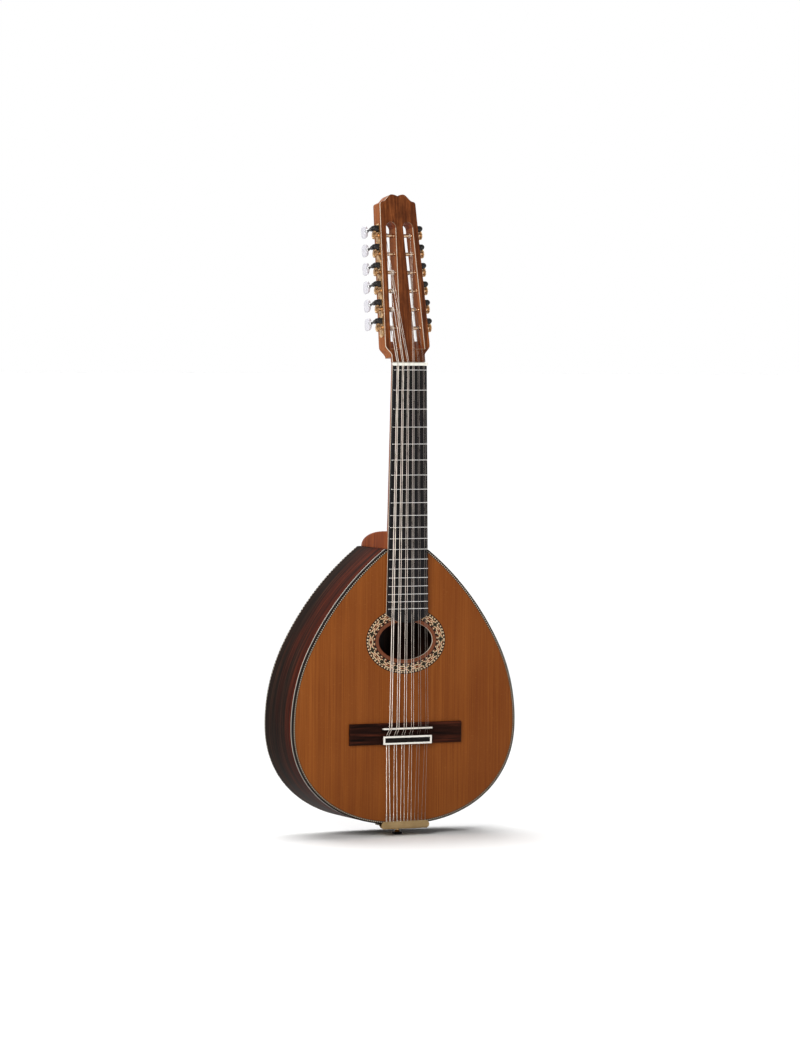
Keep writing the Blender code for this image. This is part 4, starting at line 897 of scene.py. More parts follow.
def make_rosette(looks):
    """The mosaic ring: crosses and lozenges between two ropes of short tiles and fine lines.

    Each row has its tiles' colours in turn (k dark, c cream, r red, g green), or the number of its
    row in the mosaic, and its share of the ring's width.
    """
    rows = [("k", 1.2), ("kcrk", 1.9), ("k", 0.9)]
    rows += [(number, 7.0 / MOSAIC_ROWS) for number in range(MOSAIC_ROWS)]
    rows += [("k", 0.9), ("ck", 1.9), ("k", 1.2)]
    whole = sum(width for _, width in rows)
    edges = [ROSETTE_MARGIN]
    for _, width in rows:
        edges.append(edges[-1] + width * ROSETTE_WIDTH / whole)
    rings = []
    for turn in oval_turns(ROSETTE_MARGIN + ROSETTE_WIDTH / 2, MOSAIC_MOTIFS * MOSAIC_MOTIF):
        ring = [(oval_point(edge, turn), 0.0) for edge in edges]
        ring += [(oval_point(edge, turn), ROSETTE_THICKNESS) for edge in (edges[-1], edges[0])]
        rings.append(at_depths(ring))

    def paint(column, row):
        kind = rows[row][0] if row < len(rows) else "k"
        if isinstance(kind, str):
            return "kcrg".index(kind[column % len(kind)])
        return "kcrg".index(mosaic_tile(column % MOSAIC_MOTIF, kind))

    inlays = [looks["dark_inlay"], looks["cream_inlay"], looks["red_inlay"], looks["green_inlay"]]
    ring = loft("rosette_mosaic", rings, inlays, closed=True, paint=paint, smooth=False)
    seat(ring, "instrument", "mosaic", "rosette")


def make_edges(looks):
    """The front edge's black binding, fine lines and rope of tiles, and the back edge's binding."""
    rim, top_edge = body_outline(), body_outline(BINDING_TOP_WIDTH)
    line_start = FRONT_BINDING_HEIGHT - SIDE_LINE
    white, dark, rope = looks["white_line"], looks["dark_inlay"], looks["rope_inlay"]
    outside = top_edge, body_outline(ROPE_START)
    inside = body_outline(LINE_START), body_outline(TOP_INSET)
    binding = hoop("front_edge_binding", rim, top_edge, 0, line_start, looks["black_binding"], 0.8 * MM)
    seat(binding, "instrument", "binding", "front_binding")
    pieces = [
        hoop("side_white_line", rim, top_edge, line_start, FRONT_BINDING_HEIGHT, white),
        hoop("top_outer_line", *outside, 0, TOP_THICKNESS, dark),
        hoop("top_inner_line", *inside, 0, TOP_THICKNESS, dark),
    ]
    for piece in pieces:
        seat(piece, "instrument", "binding")
    tiles = even(body_outline(ROPE_START), ROPE_STEP)
    ends = tiles, drawn_in(tiles, ROPE_WIDTH)
    piece = hoop("top_rope_line", *ends, 0, TOP_THICKNESS, [dark, rope], paint=lambda i, j: i % 2)
    seat(piece, "instrument", "mosaic")

    start = BODY_DEPTH - BACK_BINDING_HEIGHT
    middle = start + BACK_ROPE_HEIGHT
    tiles = even(rim, BACK_ROPE_STEP)
    ends = tiles, drawn_in(tiles, SIDE_THICKNESS)
    binding = hoop("back_edge_binding", *ends, BODY_DEPTH, middle, looks["black_binding"], -0.8 * MM)
    seat(binding, "instrument", "binding", "back_binding")
    piece = hoop("back_rope_line", *ends, start, middle, [dark, white], paint=lambda i, j: i % 2)
    seat(piece, "instrument", "binding")


def make_sides(looks):
    """The two bent sides, from the neck block's edge round to the tail."""
    outside, inside = body_half_outline(), body_half_outline(SIDE_THICKNESS)
    block_edge = NECK_BLOCK_WIDTH / 2 + GAP
    front, back = FRONT_BINDING_HEIGHT, BODY_DEPTH - BACK_BINDING_HEIGHT
    stations = [((block_edge, -JOINT_DOWN), (block_edge, -JOINT_DOWN - SIDE_THICKNESS))]
    stations += list(zip(outside, inside))
    stations[-1] = ((GAP / 2, outside[-1][1]), (GAP / 2, inside[-1][1]))
    for side, label in LABELS.items():
        rings = []
        for (xo, zo), (xi, zi) in stations:
            ring = [(side * xo, between(front, back, i / 4), zo) for i in range(5)]
            rings.append(ring + [(side * xi, back, zi), (side * xi, front, zi)])
        seat(loft("side_wall_" + label, rings, looks["side"]), "instrument", "rosewood", "side_" + label)


def make_back(looks):
    """The flat back in two matched halves with a fine strip between them."""
    half = body_half_outline(RIM_INSET)
    strip, top, bottom = CENTRE_STRIP_HALF, half[0][1], half[-1][1]
    front = BODY_DEPTH - BACK_THICKNESS
    for side, label in LABELS.items():
        outline = [(side * strip, top)] + [(side * max(x, strip), z) for x, z in half]
        piece = loft("back_" + label, plate_rings(outline, front, BODY_DEPTH, 0.1 * MM), looks["back"])
        seat(piece, "instrument", "rosewood", "back")
    middle = [(-strip, top), (-strip, bottom), (strip, bottom), (strip, top)]
    rings = plate_rings(middle, front, BODY_DEPTH, 0.05 * MM)
    seat(loft("back_centre_strip", rings, looks["cream_inlay"]), "instrument", "binding")


def board_end():
    """The fingerboard's rounded lower end, from its left corner to its right one."""
    half = board_half_width(BOARD_CORNER_DOWN)
    sagitta = BOARD_TIP_DOWN - BOARD_CORNER_DOWN
    radius = (half * half + sagitta * sagitta) / (2 * sagitta)
    spread = math.asin(half / radius)
    middle = -math.pi / 2
    return arc(0, radius - BOARD_TIP_DOWN, radius, radius, middle - spread, middle + spread, 24)


def fret_rings(number):
    """A fret: a rounded crown across the board, falling away at each end."""
    down = fret_down(number)
    half = board_half_width(down) - 0.3 * MM
    ends = [(half, 0.45), (half - 0.6 * MM, 0.85), (half - 1.4 * MM, 1.0)]
    foot = -BOARD_THICKNESS + 0.3 * MM
    rings = []
    for x, share in mirrored(ends):
        ring = [(x, foot, -down - FRET_WIDTH / 2)]
        for i in range(9):
            turn = math.pi * i / 8
            height = BOARD_THICKNESS + FRET_HEIGHT * share * math.sin(turn) ** 0.8
            ring.append((x, -height, -down - FRET_CROWN_HALF * math.cos(turn)))
        rings.append(ring + [(x, foot, -down + FRET_WIDTH / 2)])
    return rings


def make_fingerboard(looks):
    """The ebony board with its rounded end, and the frets set across it."""
    top = NUT_ABOVE_FRET - GAP
    outline = [(board_half_width(-top), top), (-board_half_width(-top), top)] + board_end()
    line = -GAP - BOARD_LINE
    board = loft("fingerboard_ebony", plate_rings(outline, -BOARD_THICKNESS, line), looks["ebony"])
    seat(board, "instrument", "ebony", "fingerboard")
    under = loft("fingerboard_line", plate_rings(outline, line, -GAP, 0.02 * MM), looks["light_veneer"])
    seat(under, "instrument", "light_veneer")
    frets = lofts("frets", [fret_rings(number) for number in range(FRETS + 1)], looks["fret_nickel"])
    seat(frets, "instrument", "steel_string")


def make_nut(looks):
    """The bone nut, its top rounded towards the head and grooved for each string."""
    places = pair_places(NUT_COURSE_SPACING, NUT_PAIR_SPACING)
    rings = []
    for part in (0, 0.06, 0.2, 0.5, 0.8, 0.94, 1):
        rounding = abs(2 * part - 1) ** 6
        top = -NUT_HEIGHT + 0.5 * MM * rounding
        half = BOARD_WIDTH_ZERO / 2 - FINE_EASING * rounding
        comb = [(-half, -GAP), (-half, top + FINE_EASING), (-half + FINE_EASING, top)]
        for index, place in enumerate(places):
            reach = COURSE_GAUGES[index // 2] / 2 + 0.12 * MM
            middle = -FRET_TOP - reach
            comb += [(place - reach, top), (place - reach, middle)]
            comb += arc(place, middle, -reach, reach, math.pi / 4, math.pi * 3 / 4, 2)
            comb += [(place + reach, middle), (place + reach, top)]
        comb += [(half - FINE_EASING, top), (half, top + FINE_EASING), (half, -GAP)]
        z = NUT_ABOVE_FRET + (NUT_LENGTH - GAP) * part
        rings.append([(x, y, z) for x, y in comb])
    seat(loft("nut_bone", rings, looks["polished_bone"]), "instrument", "bone", "nut")


def neck_section(half_width, thickness, roundness, count=33):
    """A D-shaped section: flat in front, round behind, as across and depth."""
    section = [(half_width, 0.0)]
    for i in range(1, count - 1):
        turn = math.pi * i / (count - 1)
        across = squared(math.cos(turn), 2 / roundness)
        section.append((half_width * across, thickness * math.sin(turn) ** (2 / roundness)))
    return section + [(-half_width, 0.0)]


def head_point(across, depth, up):
    """A place in the head's tilted frame, given in the drawing's frame."""
    y = HEAD_FACE_DEPTH + depth * math.cos(HEAD_TILT) + up * math.sin(HEAD_TILT)
    z = NUT_TOP_UP - depth * math.sin(HEAD_TILT) + up * math.cos(HEAD_TILT)
    return (across, y, z)


def head_outline(bottom, throat_half):
    """The head's outline: throat, shoulders, tapering sides, and a crest of two lobes."""
    corner_x = HEAD_CORNER_HALF - HEAD_CORNER_RADIUS
    shelf = CREST_PEAK_UP - CREST_SHELF
    low = shelf - HEAD_CORNER_RADIUS
    half = [(throat_half, bottom)]
    for t in [i / 16 for i in range(17)]:
        half.append((between(throat_half, HEAD_WIDE_HALF, ease(t)), between(THROAT_LOW, THROAT_HIGH, t)))
    for t in [i / 12 for i in range(12)]:
        half.append((between(HEAD_WIDE_HALF, HEAD_CORNER_HALF, t), between(HEAD_WIDE_UP, low, t)))
    half += arc(corner_x, low, HEAD_CORNER_RADIUS, HEAD_CORNER_RADIUS, 0, math.pi / 2, 8)
    for t in [i / 18 for i in range(1, 19)]:
        half.append((between(corner_x, CREST_PEAK_HALF, t), shelf + CREST_SHELF * ease(t)))
    for t in [i / 8 for i in range(1, 9)]:
        half.append((CREST_PEAK_HALF * (1 - t), CREST_PEAK_UP - CREST_NOTCH * t * t))
    return half + [(-x, z) for x, z in reversed(half[:-1])]


def cut(target, cutters, sharp=32):
    """Cuts pieces out of a target, keeps the result as its own mesh, and shades it but for its corners."""
    for cutter in cutters:
        step = target.modifiers.new("cut", "BOOLEAN")
        step.operation = "DIFFERENCE"
        step.solver = "EXACT"
        step.object = cutter
    bpy.context.view_layer.update()
    mesh = bpy.data.meshes.new_from_object(target.evaluated_get(bpy.context.evaluated_depsgraph_get()))
    target.modifiers.clear()
    target.data = mesh
    mesh.shade_smooth()
    mesh.set_sharp_from_angle(angle=math.radians(sharp))


def removed(cutters):
    """Takes used cutters out of the scene."""
    for cutter in cutters:
        bpy.data.objects.remove(cutter, do_unlink=True)


def slot_cutters():
    """The two slots through the head, with round tops and sloping bottoms.

    A slot's right wall, which faces the camera's side and the light, takes the piece's own look. The other
    walls, which lie in shade, take its second look, a darker painted shade.
    """
    inner, outer = SLOT_WALL + SLOT_WIDTH, SLOT_WALL
    middle, radius = (inner + outer) / 2, SLOT_WIDTH / 2
    high = SLOT_TOP - HEAD_WIDE_UP - radius
    made = []
    for side, place in SIDES.items():
        rings = []
        for depth, bottom in ((-PAST_FACE, SLOT_BOTTOM_FACE), (HEAD_THICKNESS + PAST_FACE, SLOT_BOTTOM_BACK)):
            low = bottom - HEAD_WIDE_UP
            outline = [(-inner, low), (-outer, low)] + arc(-middle, high, radius, radius, 0, math.pi, 28)
            rings.append([(side * x, depth, z) for x, z in outline])
        pale = 1 if side > 0 else len(rings[0]) - 1
        # Every wall but the right one gets the piece's second look, a painted shade.
        shade_paints = [int(j != pale) for j in range(len(rings[0]))]
        made.append(loft("slot_cutter_%d" % (side + 2), rings, [], place, paint=lambda i, j: shade_paints[j]))
    return made


def rod(start, end, radius, sides=24):
    """Two rings round a straight line, for a loft."""
    turn = (Vector(end) - Vector(start)).to_track_quat("Z", "Y")
    section = [turn @ Vector((x, y, 0)) for x, y in circle(radius, sides)]
    return [[tuple(Vector(spot) + corner) for corner in section] for spot in (start, end)]


def roller_along(index):
    """A roller's place along its side's frame."""
    return FIRST_ROLLER_UP - HEAD_WIDE_UP + ROLLER_SPACING * index


def bore_cutters():
    """The bores that the rollers turn in."""
    blind = -SLOT_WALL - SLOT_WIDTH - ROLLER_IN_WEB - GAP
    made = []
    for side, place in SIDES.items():
        groups = []
        for along in [roller_along(index) for index in range(MACHINES)]:
            start, end = [(side * out, ROLLER_DEPTH, along) for out in (blind, GEAR_OUT)]
            groups.append(rod(start, end, ROLLER_RADIUS + GAP))
        made.append(lofts("bore_cutter_%d" % (side + 2), groups, [], place))
    return made


def neck_ring(down, thickness, roundness):
    """One ring of the neck's shaft or heel."""
    section = neck_section(board_half_width(down) - NECK_INSET, thickness, roundness)
    return [(x, y, -down) for x, y in section]


def make_neck(looks):
    """The mahogany neck with its heel, let into the head's core."""
    throat_half = BOARD_WIDTH_ZERO / 2 - NECK_INSET
    section = neck_section(throat_half - NECK_INSET, NECK_THICKNESS_HEEL - HEAD_CORE_DEPTH, NECK_ROUNDNESS)
    sunk = HEAD_CORE_DEPTH + NECK_INSET
    rings = [[head_point(x, sunk + y, THROAT_LOW + CORE_OVERLAP) for x, y in section]]
    ledge = HEAD_FACE_DEPTH + HEAD_CORE_DEPTH / math.cos(HEAD_TILT)
    section = neck_section(throat_half, NECK_THICKNESS_NUT - ledge, NECK_ROUNDNESS)
    rings.append([(x, ledge + y, NUT_TOP_UP) for x, y in section])
    shaft_start, heel_down = GAP - NUT_TOP_UP, JOINT_DOWN - HEEL_LENGTH
    for t in [i / 12 for i in range(13)]:
        thickness = between(NECK_THICKNESS_NUT, NECK_THICKNESS_HEEL, t)
        rings.append(neck_ring(between(shaft_start, heel_down, t), thickness, NECK_ROUNDNESS))
    for turn in [math.pi / 42 * i for i in range(1, 22)]:
        down = JOINT_DOWN - GAP - (HEEL_LENGTH - GAP) * math.cos(turn)
        thickness = between(NECK_THICKNESS_HEEL, BODY_DEPTH, math.sin(turn))
        rings.append(neck_ring(down, thickness, between(NECK_ROUNDNESS, HEEL_ROUNDNESS, math.sin(turn))))
    seat(loft("neck_shaft", rings, looks["neck"]), "instrument", "mahogany", "neck")


def make_head(looks):
    """The head's core and its two veneers, with the slots and the rollers' bores through them."""
    slots, bores = slot_cutters(), bore_cutters()
    throat_half = BOARD_WIDTH_ZERO / 2 - NECK_INSET
    core = head_outline(THROAT_LOW - CORE_BELOW_THROAT, throat_half)
    face = head_outline(HEAD_CORE_DEPTH * math.tan(HEAD_TILT) + GAP, throat_half)
    core_start = HEAD_FACE_VENEER + HEAD_LIGHT_VENEER
    # Each piece's name, outline, front, back, easing, look, look inside the slots, slot and node. The look
    # inside the slots is painted shade on every slot wall but the right one.
    # The face veneer is eased at its front, and the two pieces behind it at their back.
    pieces = [
        # The core's shaded slot walls take the darker neck mahogany as painted shade.
        ("head_core", core, core_start, HEAD_THICKNESS, 0.8 * MM, "mahogany", "neck", "mahogany", "neck"),
        (
            "head_light_veneer", face, LIGHT_VENEER_DEPTH, core_start, 0.02 * MM,
            "light_veneer", "veneer_slot_shade", "light_veneer", "head_veneer",
        ),
        (
            "head_face_veneer", face, 0, LIGHT_VENEER_DEPTH, EASING,
            "head", "head", "rosewood_veneer", "head_face",
        ),
    ]
    for name, outline, front, back, easing, look, inside, slot, node_name in pieces:
        rings = []
        for depth, inset in eased_steps(front, back, easing):
            eased = (depth < (front + back) / 2) == (name == "head_face_veneer")
            rings.append([(x, depth, z) for x, z in drawn_in(outline, inset if eased else 0)])
        piece = loft(name, rings, [looks[look], looks[inside]], HEAD)
        cut(piece, slots + bores if name == "head_core" else slots)
        seat(piece, "instrument", slot, node_name)
    removed(slots + bores)


def turned(profile, sides, spot):
    """Rings of a turned shape: the profile's radius at its heights, put in place by a function."""
    return [[spot(a, b, height) for a, b in circle(radius, sides)] for height, radius in profile]


def gear_ring(out, tip, root):
    """One ring of a gear's outline at a distance out along its axis."""
    ring = []
    for tooth in range(GEAR_TEETH):
        for part, reach in ((-0.32, root), (-0.1, tip), (0.1, tip), (0.32, root)):
            angle = 2 * math.pi * (tooth + 0.5 + part) / GEAR_TEETH
            ring.append((out, reach * math.sin(angle), reach * math.cos(angle)))
    return ring


def machine_name(side, index):
    """A tuning machine's part of its pieces' names, such as left_1."""
    return "%s_%d" % (LABELS[side], index + 1)


def roller_place(side, index):
    """A roller's frame, with x out along its axis on the right side."""
    return SIDES[side] @ Matrix.Translation((0, ROLLER_DEPTH, roller_along(index)))


def make_roller(side, index, looks):
    """A turned roller with a slimmer waist for its string."""
    name = machine_name(side, index)
    wall = -SLOT_WALL - SLOT_WIDTH
    profile = [
        (wall - ROLLER_IN_WEB, ROLLER_RADIUS - 0.5 * MM),
        (wall - ROLLER_IN_WEB + 0.5 * MM, ROLLER_RADIUS),
        (wall + 0.6 * MM, ROLLER_RADIUS),
        (wall + 1.0 * MM, ROLLER_WAIST),
        (-SLOT_WALL - 1.0 * MM, ROLLER_WAIST),
        (-SLOT_WALL - 0.6 * MM, ROLLER_RADIUS),
        (GEAR_OUT - GEAR_THICKNESS / 2, ROLLER_RADIUS),
    ]

    def spot(a, b, out):
        return (side * out, a, b)

    rings = turned(profile, 32, spot)
    roller = loft("string_roller_" + name, rings, looks["roller"], roller_place(side, index))
    seat(roller, "roller_" + name, "brass", "roller_" + name)


def make_wheel(side, index, looks):
    """A roller's worm wheel, dished inside its teeth, and the hub that stands out of it."""
    name = machine_name(side, index)
    tip, root = GEAR_PITCH_RADIUS + GEAR_ADDENDUM, GEAR_PITCH_RADIUS - GEAR_DEDENDUM
    low, high, bevel = GEAR_OUT - GEAR_THICKNESS / 2, GEAR_OUT + GEAR_THICKNESS / 2, 0.25 * MM
    rings = [
        gear_ring(side * low, tip - bevel, root - bevel),
        gear_ring(side * (low + bevel), tip, root),
        gear_ring(side * (high - bevel), tip, root),
        gear_ring(side * high, tip - bevel, root - bevel),
        gear_ring(side * high, root - 0.8 * MM, root - 0.8 * MM),
        gear_ring(side * (high - 0.3 * MM), root - 1.1 * MM, root - 1.1 * MM),
    ]
    hub_end = GEAR_OUT + GEAR_THICKNESS
    hub = [
        (GEAR_OUT, ROLLER_RADIUS),
        (hub_end - 0.5 * MM, ROLLER_RADIUS),
        (hub_end - 0.15 * MM, ROLLER_RADIUS - 0.15 * MM),
        (hub_end, ROLLER_RADIUS - 0.5 * MM),
        (hub_end, 1.2 * MM),
    ]

    def spot(a, b, out):
        return (side * out, a, b)

    skins = [rings, turned(hub, 28, spot)]
    wheel = lofts("worm_wheel_" + name, skins, looks["gilt"], roller_place(side, index), sharp=28)
    seat(wheel, "roller_" + name, "brass")


def worm_rings(side, half, sides=24):
    """The worm's thread, as rings across its shaft that turn with its lead."""
    tip, root = WORM_PITCH_RADIUS + WORM_ADDENDUM, WORM_PITCH_RADIUS - WORM_DEDENDUM
    steps = round(sides * WORM_TURNS)
    rings = []
    for i in range(steps + 1):
        depth = between(-half, half, i / steps)
        facing = math.pi + 2 * math.pi * depth / WORM_LEAD
        ring = []
        for j in range(sides):
            lean = 2 * math.pi * j / sides - math.pi
            fall = min(1.0, max(0.0, (abs(lean) - THREAD_CREST) / (THREAD_FOOT - THREAD_CREST)))
            reach = between(tip, root, fall)
            ring.append((side * reach * math.sin(facing + lean), depth, reach * math.cos(facing + lean)))
        rings.append(ring)
    return rings


def pearl_rings(side, middle, rings=25, sides=32):
    """The button: a rounded slab, a little taller towards its end."""
    made = []
    for i in range(rings):
        turn = math.pi * (i + 0.5) / rings
        place = -squared(math.cos(turn), BUTTON_SQUARING)
        swell = math.sin(turn) ** BUTTON_EDGE
        across = BUTTON_THICK / 2 * swell
        up = BUTTON_TALL / 2 / (1 + BUTTON_SPREAD) * (1 + BUTTON_SPREAD * place) * swell
        ring = []
        for angle in [2 * math.pi * j / sides for j in range(sides)]:
            x, z = squared(math.sin(angle), BUTTON_SQUARING), squared(math.cos(angle), BUTTON_TOP_SQUARING)
            ring.append((side * across * x, middle + BUTTON_LENGTH / 2 * place, up * z))
        made.append(ring)
    return made


def make_button(side, index, looks):
    """A worm on its shaft with collar and ferrule, and the pearl button on its end."""
    name = machine_name(side, index)
    along = roller_along(index) + WORM_ABOVE_ROLLER
    place = SIDES[side] @ Matrix.Translation((side * GEAR_OUT, ROLLER_DEPTH, along))
    half_worm = WORM_TURNS * WORM_LEAD / 2
    ear_face = EAR_GAP / 2 + EAR_THICKNESS
    collar = ear_face + COLLAR_PAST_EAR
    middle = BUTTON_DEPTH - ROLLER_DEPTH
    start = middle - BUTTON_LENGTH / 2
    ferrule = start - 3.6 * MM
    shaft = [
        (-ear_face - SHAFT_PAST_EAR, 0.9 * MM),
        (-ear_face - SHAFT_PAST_EAR * 0.7, SHAFT_RADIUS - 0.25 * MM),
        (-ear_face - SHAFT_PAST_EAR * 0.3, SHAFT_RADIUS),
        (-half_worm - WORM_END_STEP, SHAFT_RADIUS),
        (half_worm + WORM_END_STEP, SHAFT_RADIUS),
        (collar - 0.8 * MM, SHAFT_RADIUS),
        (collar - 0.3 * MM, COLLAR_RADIUS - 0.3 * MM),
        (collar, COLLAR_RADIUS),
        (collar + COLLAR_LENGTH * 0.45, COLLAR_RADIUS),
        (collar + COLLAR_LENGTH * 0.5, COLLAR_RADIUS - 0.35 * MM),
        (collar + COLLAR_LENGTH * 0.55, COLLAR_RADIUS),
        (collar + COLLAR_LENGTH, COLLAR_RADIUS),
        (collar + COLLAR_LENGTH + 0.4 * MM, COLLAR_RADIUS - 0.5 * MM),
        (collar + COLLAR_LENGTH + 0.8 * MM, SHAFT_RADIUS - 0.3 * MM),
        (ferrule, SHAFT_RADIUS - 0.3 * MM),
    ]
    cap = [
        (ferrule - 0.3 * MM, SHAFT_RADIUS - 0.3 * MM),
        (ferrule, SHAFT_RADIUS + 0.2 * MM),
        (ferrule + 1.0 * MM, SHAFT_RADIUS + 0.75 * MM),
        (ferrule + 1.4 * MM, SHAFT_RADIUS + 0.4 * MM),
        (ferrule + 2.0 * MM, SHAFT_RADIUS + 0.5 * MM),
        (start + 0.5 * MM, SHAFT_RADIUS + 0.9 * MM),
        (start + 1.2 * MM, SHAFT_RADIUS + 0.5 * MM),
    ]

    def spot(a, b, depth):
        return (side * a, depth, b)

    steel = [worm_rings(side, half_worm), turned(shaft, 24, spot)]
    dark = lofts("worm_shaft_" + name, steel, looks["black_steel"], place)
    seat(dark, "button_" + name, "brass", "button_" + name)
    bright = loft("button_ferrule_" + name, turned(cap, 24, spot), looks["turned_steel"], place)
    seat(bright, "button_" + name, "brass")
    pearl = loft("pearl_button_" + name, pearl_rings(side, middle), looks["pearl"], place, sharp=60)
    seat(pearl, "button_" + name, "pearl", "button_" + name)


def screw_rings(centre, out, radius):
    """A domed screw head on a side plate, facing out along x."""
    y, z = centre
    side = math.copysign(1, out)
    dome = [(0.0, radius), (0.25, radius), (0.5, radius * 0.85), (0.65, radius * 0.5), (0.68, 0.12 * MM)]
    return turned(dome, 20, lambda a, b, height: (out + side * height * MM, y + a, z + b))


def ear_rings(side, index):
    """A machine's two bearing ears, either side of its worm."""
    reach = WORM_PITCH_RADIUS + WORM_ADDENDUM
    inside, round_start = GAP + PLATE_THICKNESS / 2, GEAR_OUT - 1.5 * MM
    nose = GEAR_OUT + reach - EAR_SHORT - round_start
    shape = arc(round_start, 0, nose, reach, -math.pi / 2, math.pi / 2, 16)
    shape = [(inside, -reach)] + shape + [(inside, reach)]
    along = roller_along(index) + WORM_ABOVE_ROLLER
    outline = [(side * x, along + z) for x, z in shape]
    near, far = EAR_GAP / 2, EAR_GAP / 2 + EAR_THICKNESS
    ears = [(ROLLER_DEPTH - far, ROLLER_DEPTH - near), (ROLLER_DEPTH + near, ROLLER_DEPTH + far)]
    return [plate_rings(outline, front, back, FINE_EASING) for front, back in ears]


def make_plates(looks):
    """The two brass side plates with rounded ends, screws and black bearing ears."""
    half = PLATE_HEIGHT / 2
    low = roller_along(0) - PLATE_BEYOND
    high = roller_along(MACHINES - 1) + WORM_ABOVE_ROLLER + PLATE_BEYOND / 2
    outline = arc(ROLLER_DEPTH, high - half, half, half, 0, math.pi, 16, PLATE_SQUARING)
    outline += arc(ROLLER_DEPTH, low + half, half, half, math.pi, 2 * math.pi, 16, PLATE_SQUARING)
    screws = [(ROLLER_DEPTH, low + PLATE_SCREW_LOW), (ROLLER_DEPTH, high - PLATE_SCREW_HIGH)]
    for index in range(MACHINES - 1):
        along = roller_along(index) + ROLLER_SPACING * PLATE_SCREW_SHARE
        screws.append((ROLLER_DEPTH + PLATE_SCREW_ASIDE, along))
    face = GAP + PLATE_THICKNESS
    for side, label in LABELS.items():
        place = SIDES[side]
        steps = eased_steps(GAP, face, FINE_EASING)
        groups = [[[(side * out, y, z) for y, z in drawn_in(outline, inset)] for out, inset in steps]]
        groups += [screw_rings(spot, side * face, PLATE_SCREW_RADIUS) for spot in screws]
        sheet = lofts("machine_plate_" + label, groups, looks["gilt"], place, sharp=28)
        seat(sheet, "instrument", "brass", "tuner_plate_" + label)
        groups = [rings for index in range(MACHINES) for rings in ear_rings(side, index)]
        ears = lofts("bearing_ears_" + label, groups, looks["black_steel"], place)
        seat(ears, "instrument", "brass", "tuner_plate_" + label)


def make_machines(looks):
    """Both rows of tuning machines."""
    make_plates(looks)
    for side in SIDES:
        for index in range(MACHINES):
            make_roller(side, index, looks)
            make_wheel(side, index, looks)
            make_button(side, index, looks)


def bridge_profile(full, lift):
    """The bridge's section: places down with their heights, in full at the tie block or low at a wing."""
    slot = SADDLE_THICKNESS / 2 + 0.05 * MM
    wall = slot + SADDLE_WALL_LENGTH
    tail_end = BRIDGE_DOWN + BRIDGE_LENGTH
    tie_start = tail_end - TIE_BLOCK_LENGTH
    r = 0.8 * MM
    spots = [
        (BRIDGE_DOWN, WING_HEIGHT - 1.2 * MM),
        (BRIDGE_DOWN + 0.3 * MM, WING_HEIGHT - 0.4 * MM),
        (BRIDGE_DOWN + 1.1 * MM, WING_HEIGHT),
        (SADDLE_DOWN - wall - 0.6 * MM, SADDLE_WALL_HEIGHT - 3.0 * MM),
        (SADDLE_DOWN - wall + 0.4 * MM, SADDLE_WALL_HEIGHT - r),
        (SADDLE_DOWN - wall + 1.0 * MM, SADDLE_WALL_HEIGHT),
        (SADDLE_DOWN - slot, SADDLE_WALL_HEIGHT),
        (SADDLE_DOWN - slot + 0.01 * MM, SADDLE_FLOOR),
        (SADDLE_DOWN + slot - 0.01 * MM, SADDLE_FLOOR),
        (SADDLE_DOWN + slot, SADDLE_WALL_HEIGHT),
        (SADDLE_DOWN + wall - 0.9 * MM, SADDLE_WALL_HEIGHT),
        (SADDLE_DOWN + wall - 0.3 * MM, SADDLE_WALL_HEIGHT - r),
        (SADDLE_DOWN + wall, VALLEY_HEIGHT + 0.5 * MM),
        (SADDLE_DOWN + wall + 0.6 * MM, VALLEY_HEIGHT),
        (tie_start - 0.9 * MM, VALLEY_HEIGHT),
        (tie_start - 0.4 * MM, VALLEY_HEIGHT + 0.5 * MM),
        (tie_start, TIE_BLOCK_HEIGHT - 0.4 * MM),
        (tie_start + 0.4 * MM, TIE_BLOCK_HEIGHT),
        (tail_end - 0.5 * MM, TIE_BLOCK_HEIGHT),
        (tail_end, TIE_BLOCK_HEIGHT - 0.5 * MM),
    ]
    made = []
    for down, height in spots:
        from_edge = min(down - BRIDGE_DOWN, tail_end - down)
        rounding = max(0.0, 1 - from_edge / (1.1 * MM)) ** 2 * 1.2 * MM
        wing = WING_HEIGHT - rounding
        made.append((down, (wing + (max(height, wing) - wing) * full) - lift))
    return made


def make_bridge(looks):
    """The rosewood bridge with its wings and tie block, and the strings' holes through it."""
    tail_end = BRIDGE_DOWN + BRIDGE_LENGTH
    tie_start = tail_end - TIE_BLOCK_LENGTH
    half, block = BRIDGE_WIDTH / 2, BRIDGE_BLOCK_WIDTH / 2
    # Places across, each with its share of the tie block's height and how much lower its end lies
    stations = [
        (half, 0.0, 1.4 * MM),
        (half - 0.2 * MM, 0.0, 0.7 * MM),
        (half - 0.7 * MM, 0.0, 0.2 * MM),
        (half - 1.5 * MM, 0.0, 0.0),
        (block + 1.3 * MM, 0.0, 0.0),
        (block + 0.9 * MM, 0.1, 0.0),
        (block + 0.5 * MM, 0.5, 0.0),
        (block + 0.1 * MM, 0.92, 0.0),
        (block - 0.4 * MM, 1.0, 0.0),
    ]
    foot = -GAP * 0.2
    rings = []
    for x, full, lift in mirrored(stations):
        surface = [(x, -height, -down) for down, height in bridge_profile(full, lift)]
        rings.append([(x, foot, -BRIDGE_DOWN)] + surface + [(x, foot, -tail_end)])
    bridge = loft("bridge_rosewood_body", rings, looks["bridge"])
    groups = []
    for index, x in enumerate(pair_places(TIE_COURSE_SPACING, TIE_PAIR_SPACING)):
        start, end = [(x, -TIE_HOLE_HEIGHT, z) for z in (-tie_start + PAST_FACE, -tail_end - PAST_FACE)]
        groups.append(rod(start, end, COURSE_GAUGES[index // 2] / 2 + 0.25 * MM, 16))
    holes = [lofts("tie_hole_cutter", groups, [])]
    cut(bridge, holes)
    removed(holes)
    seat(bridge, "instrument", "dark_rosewood", "bridge")


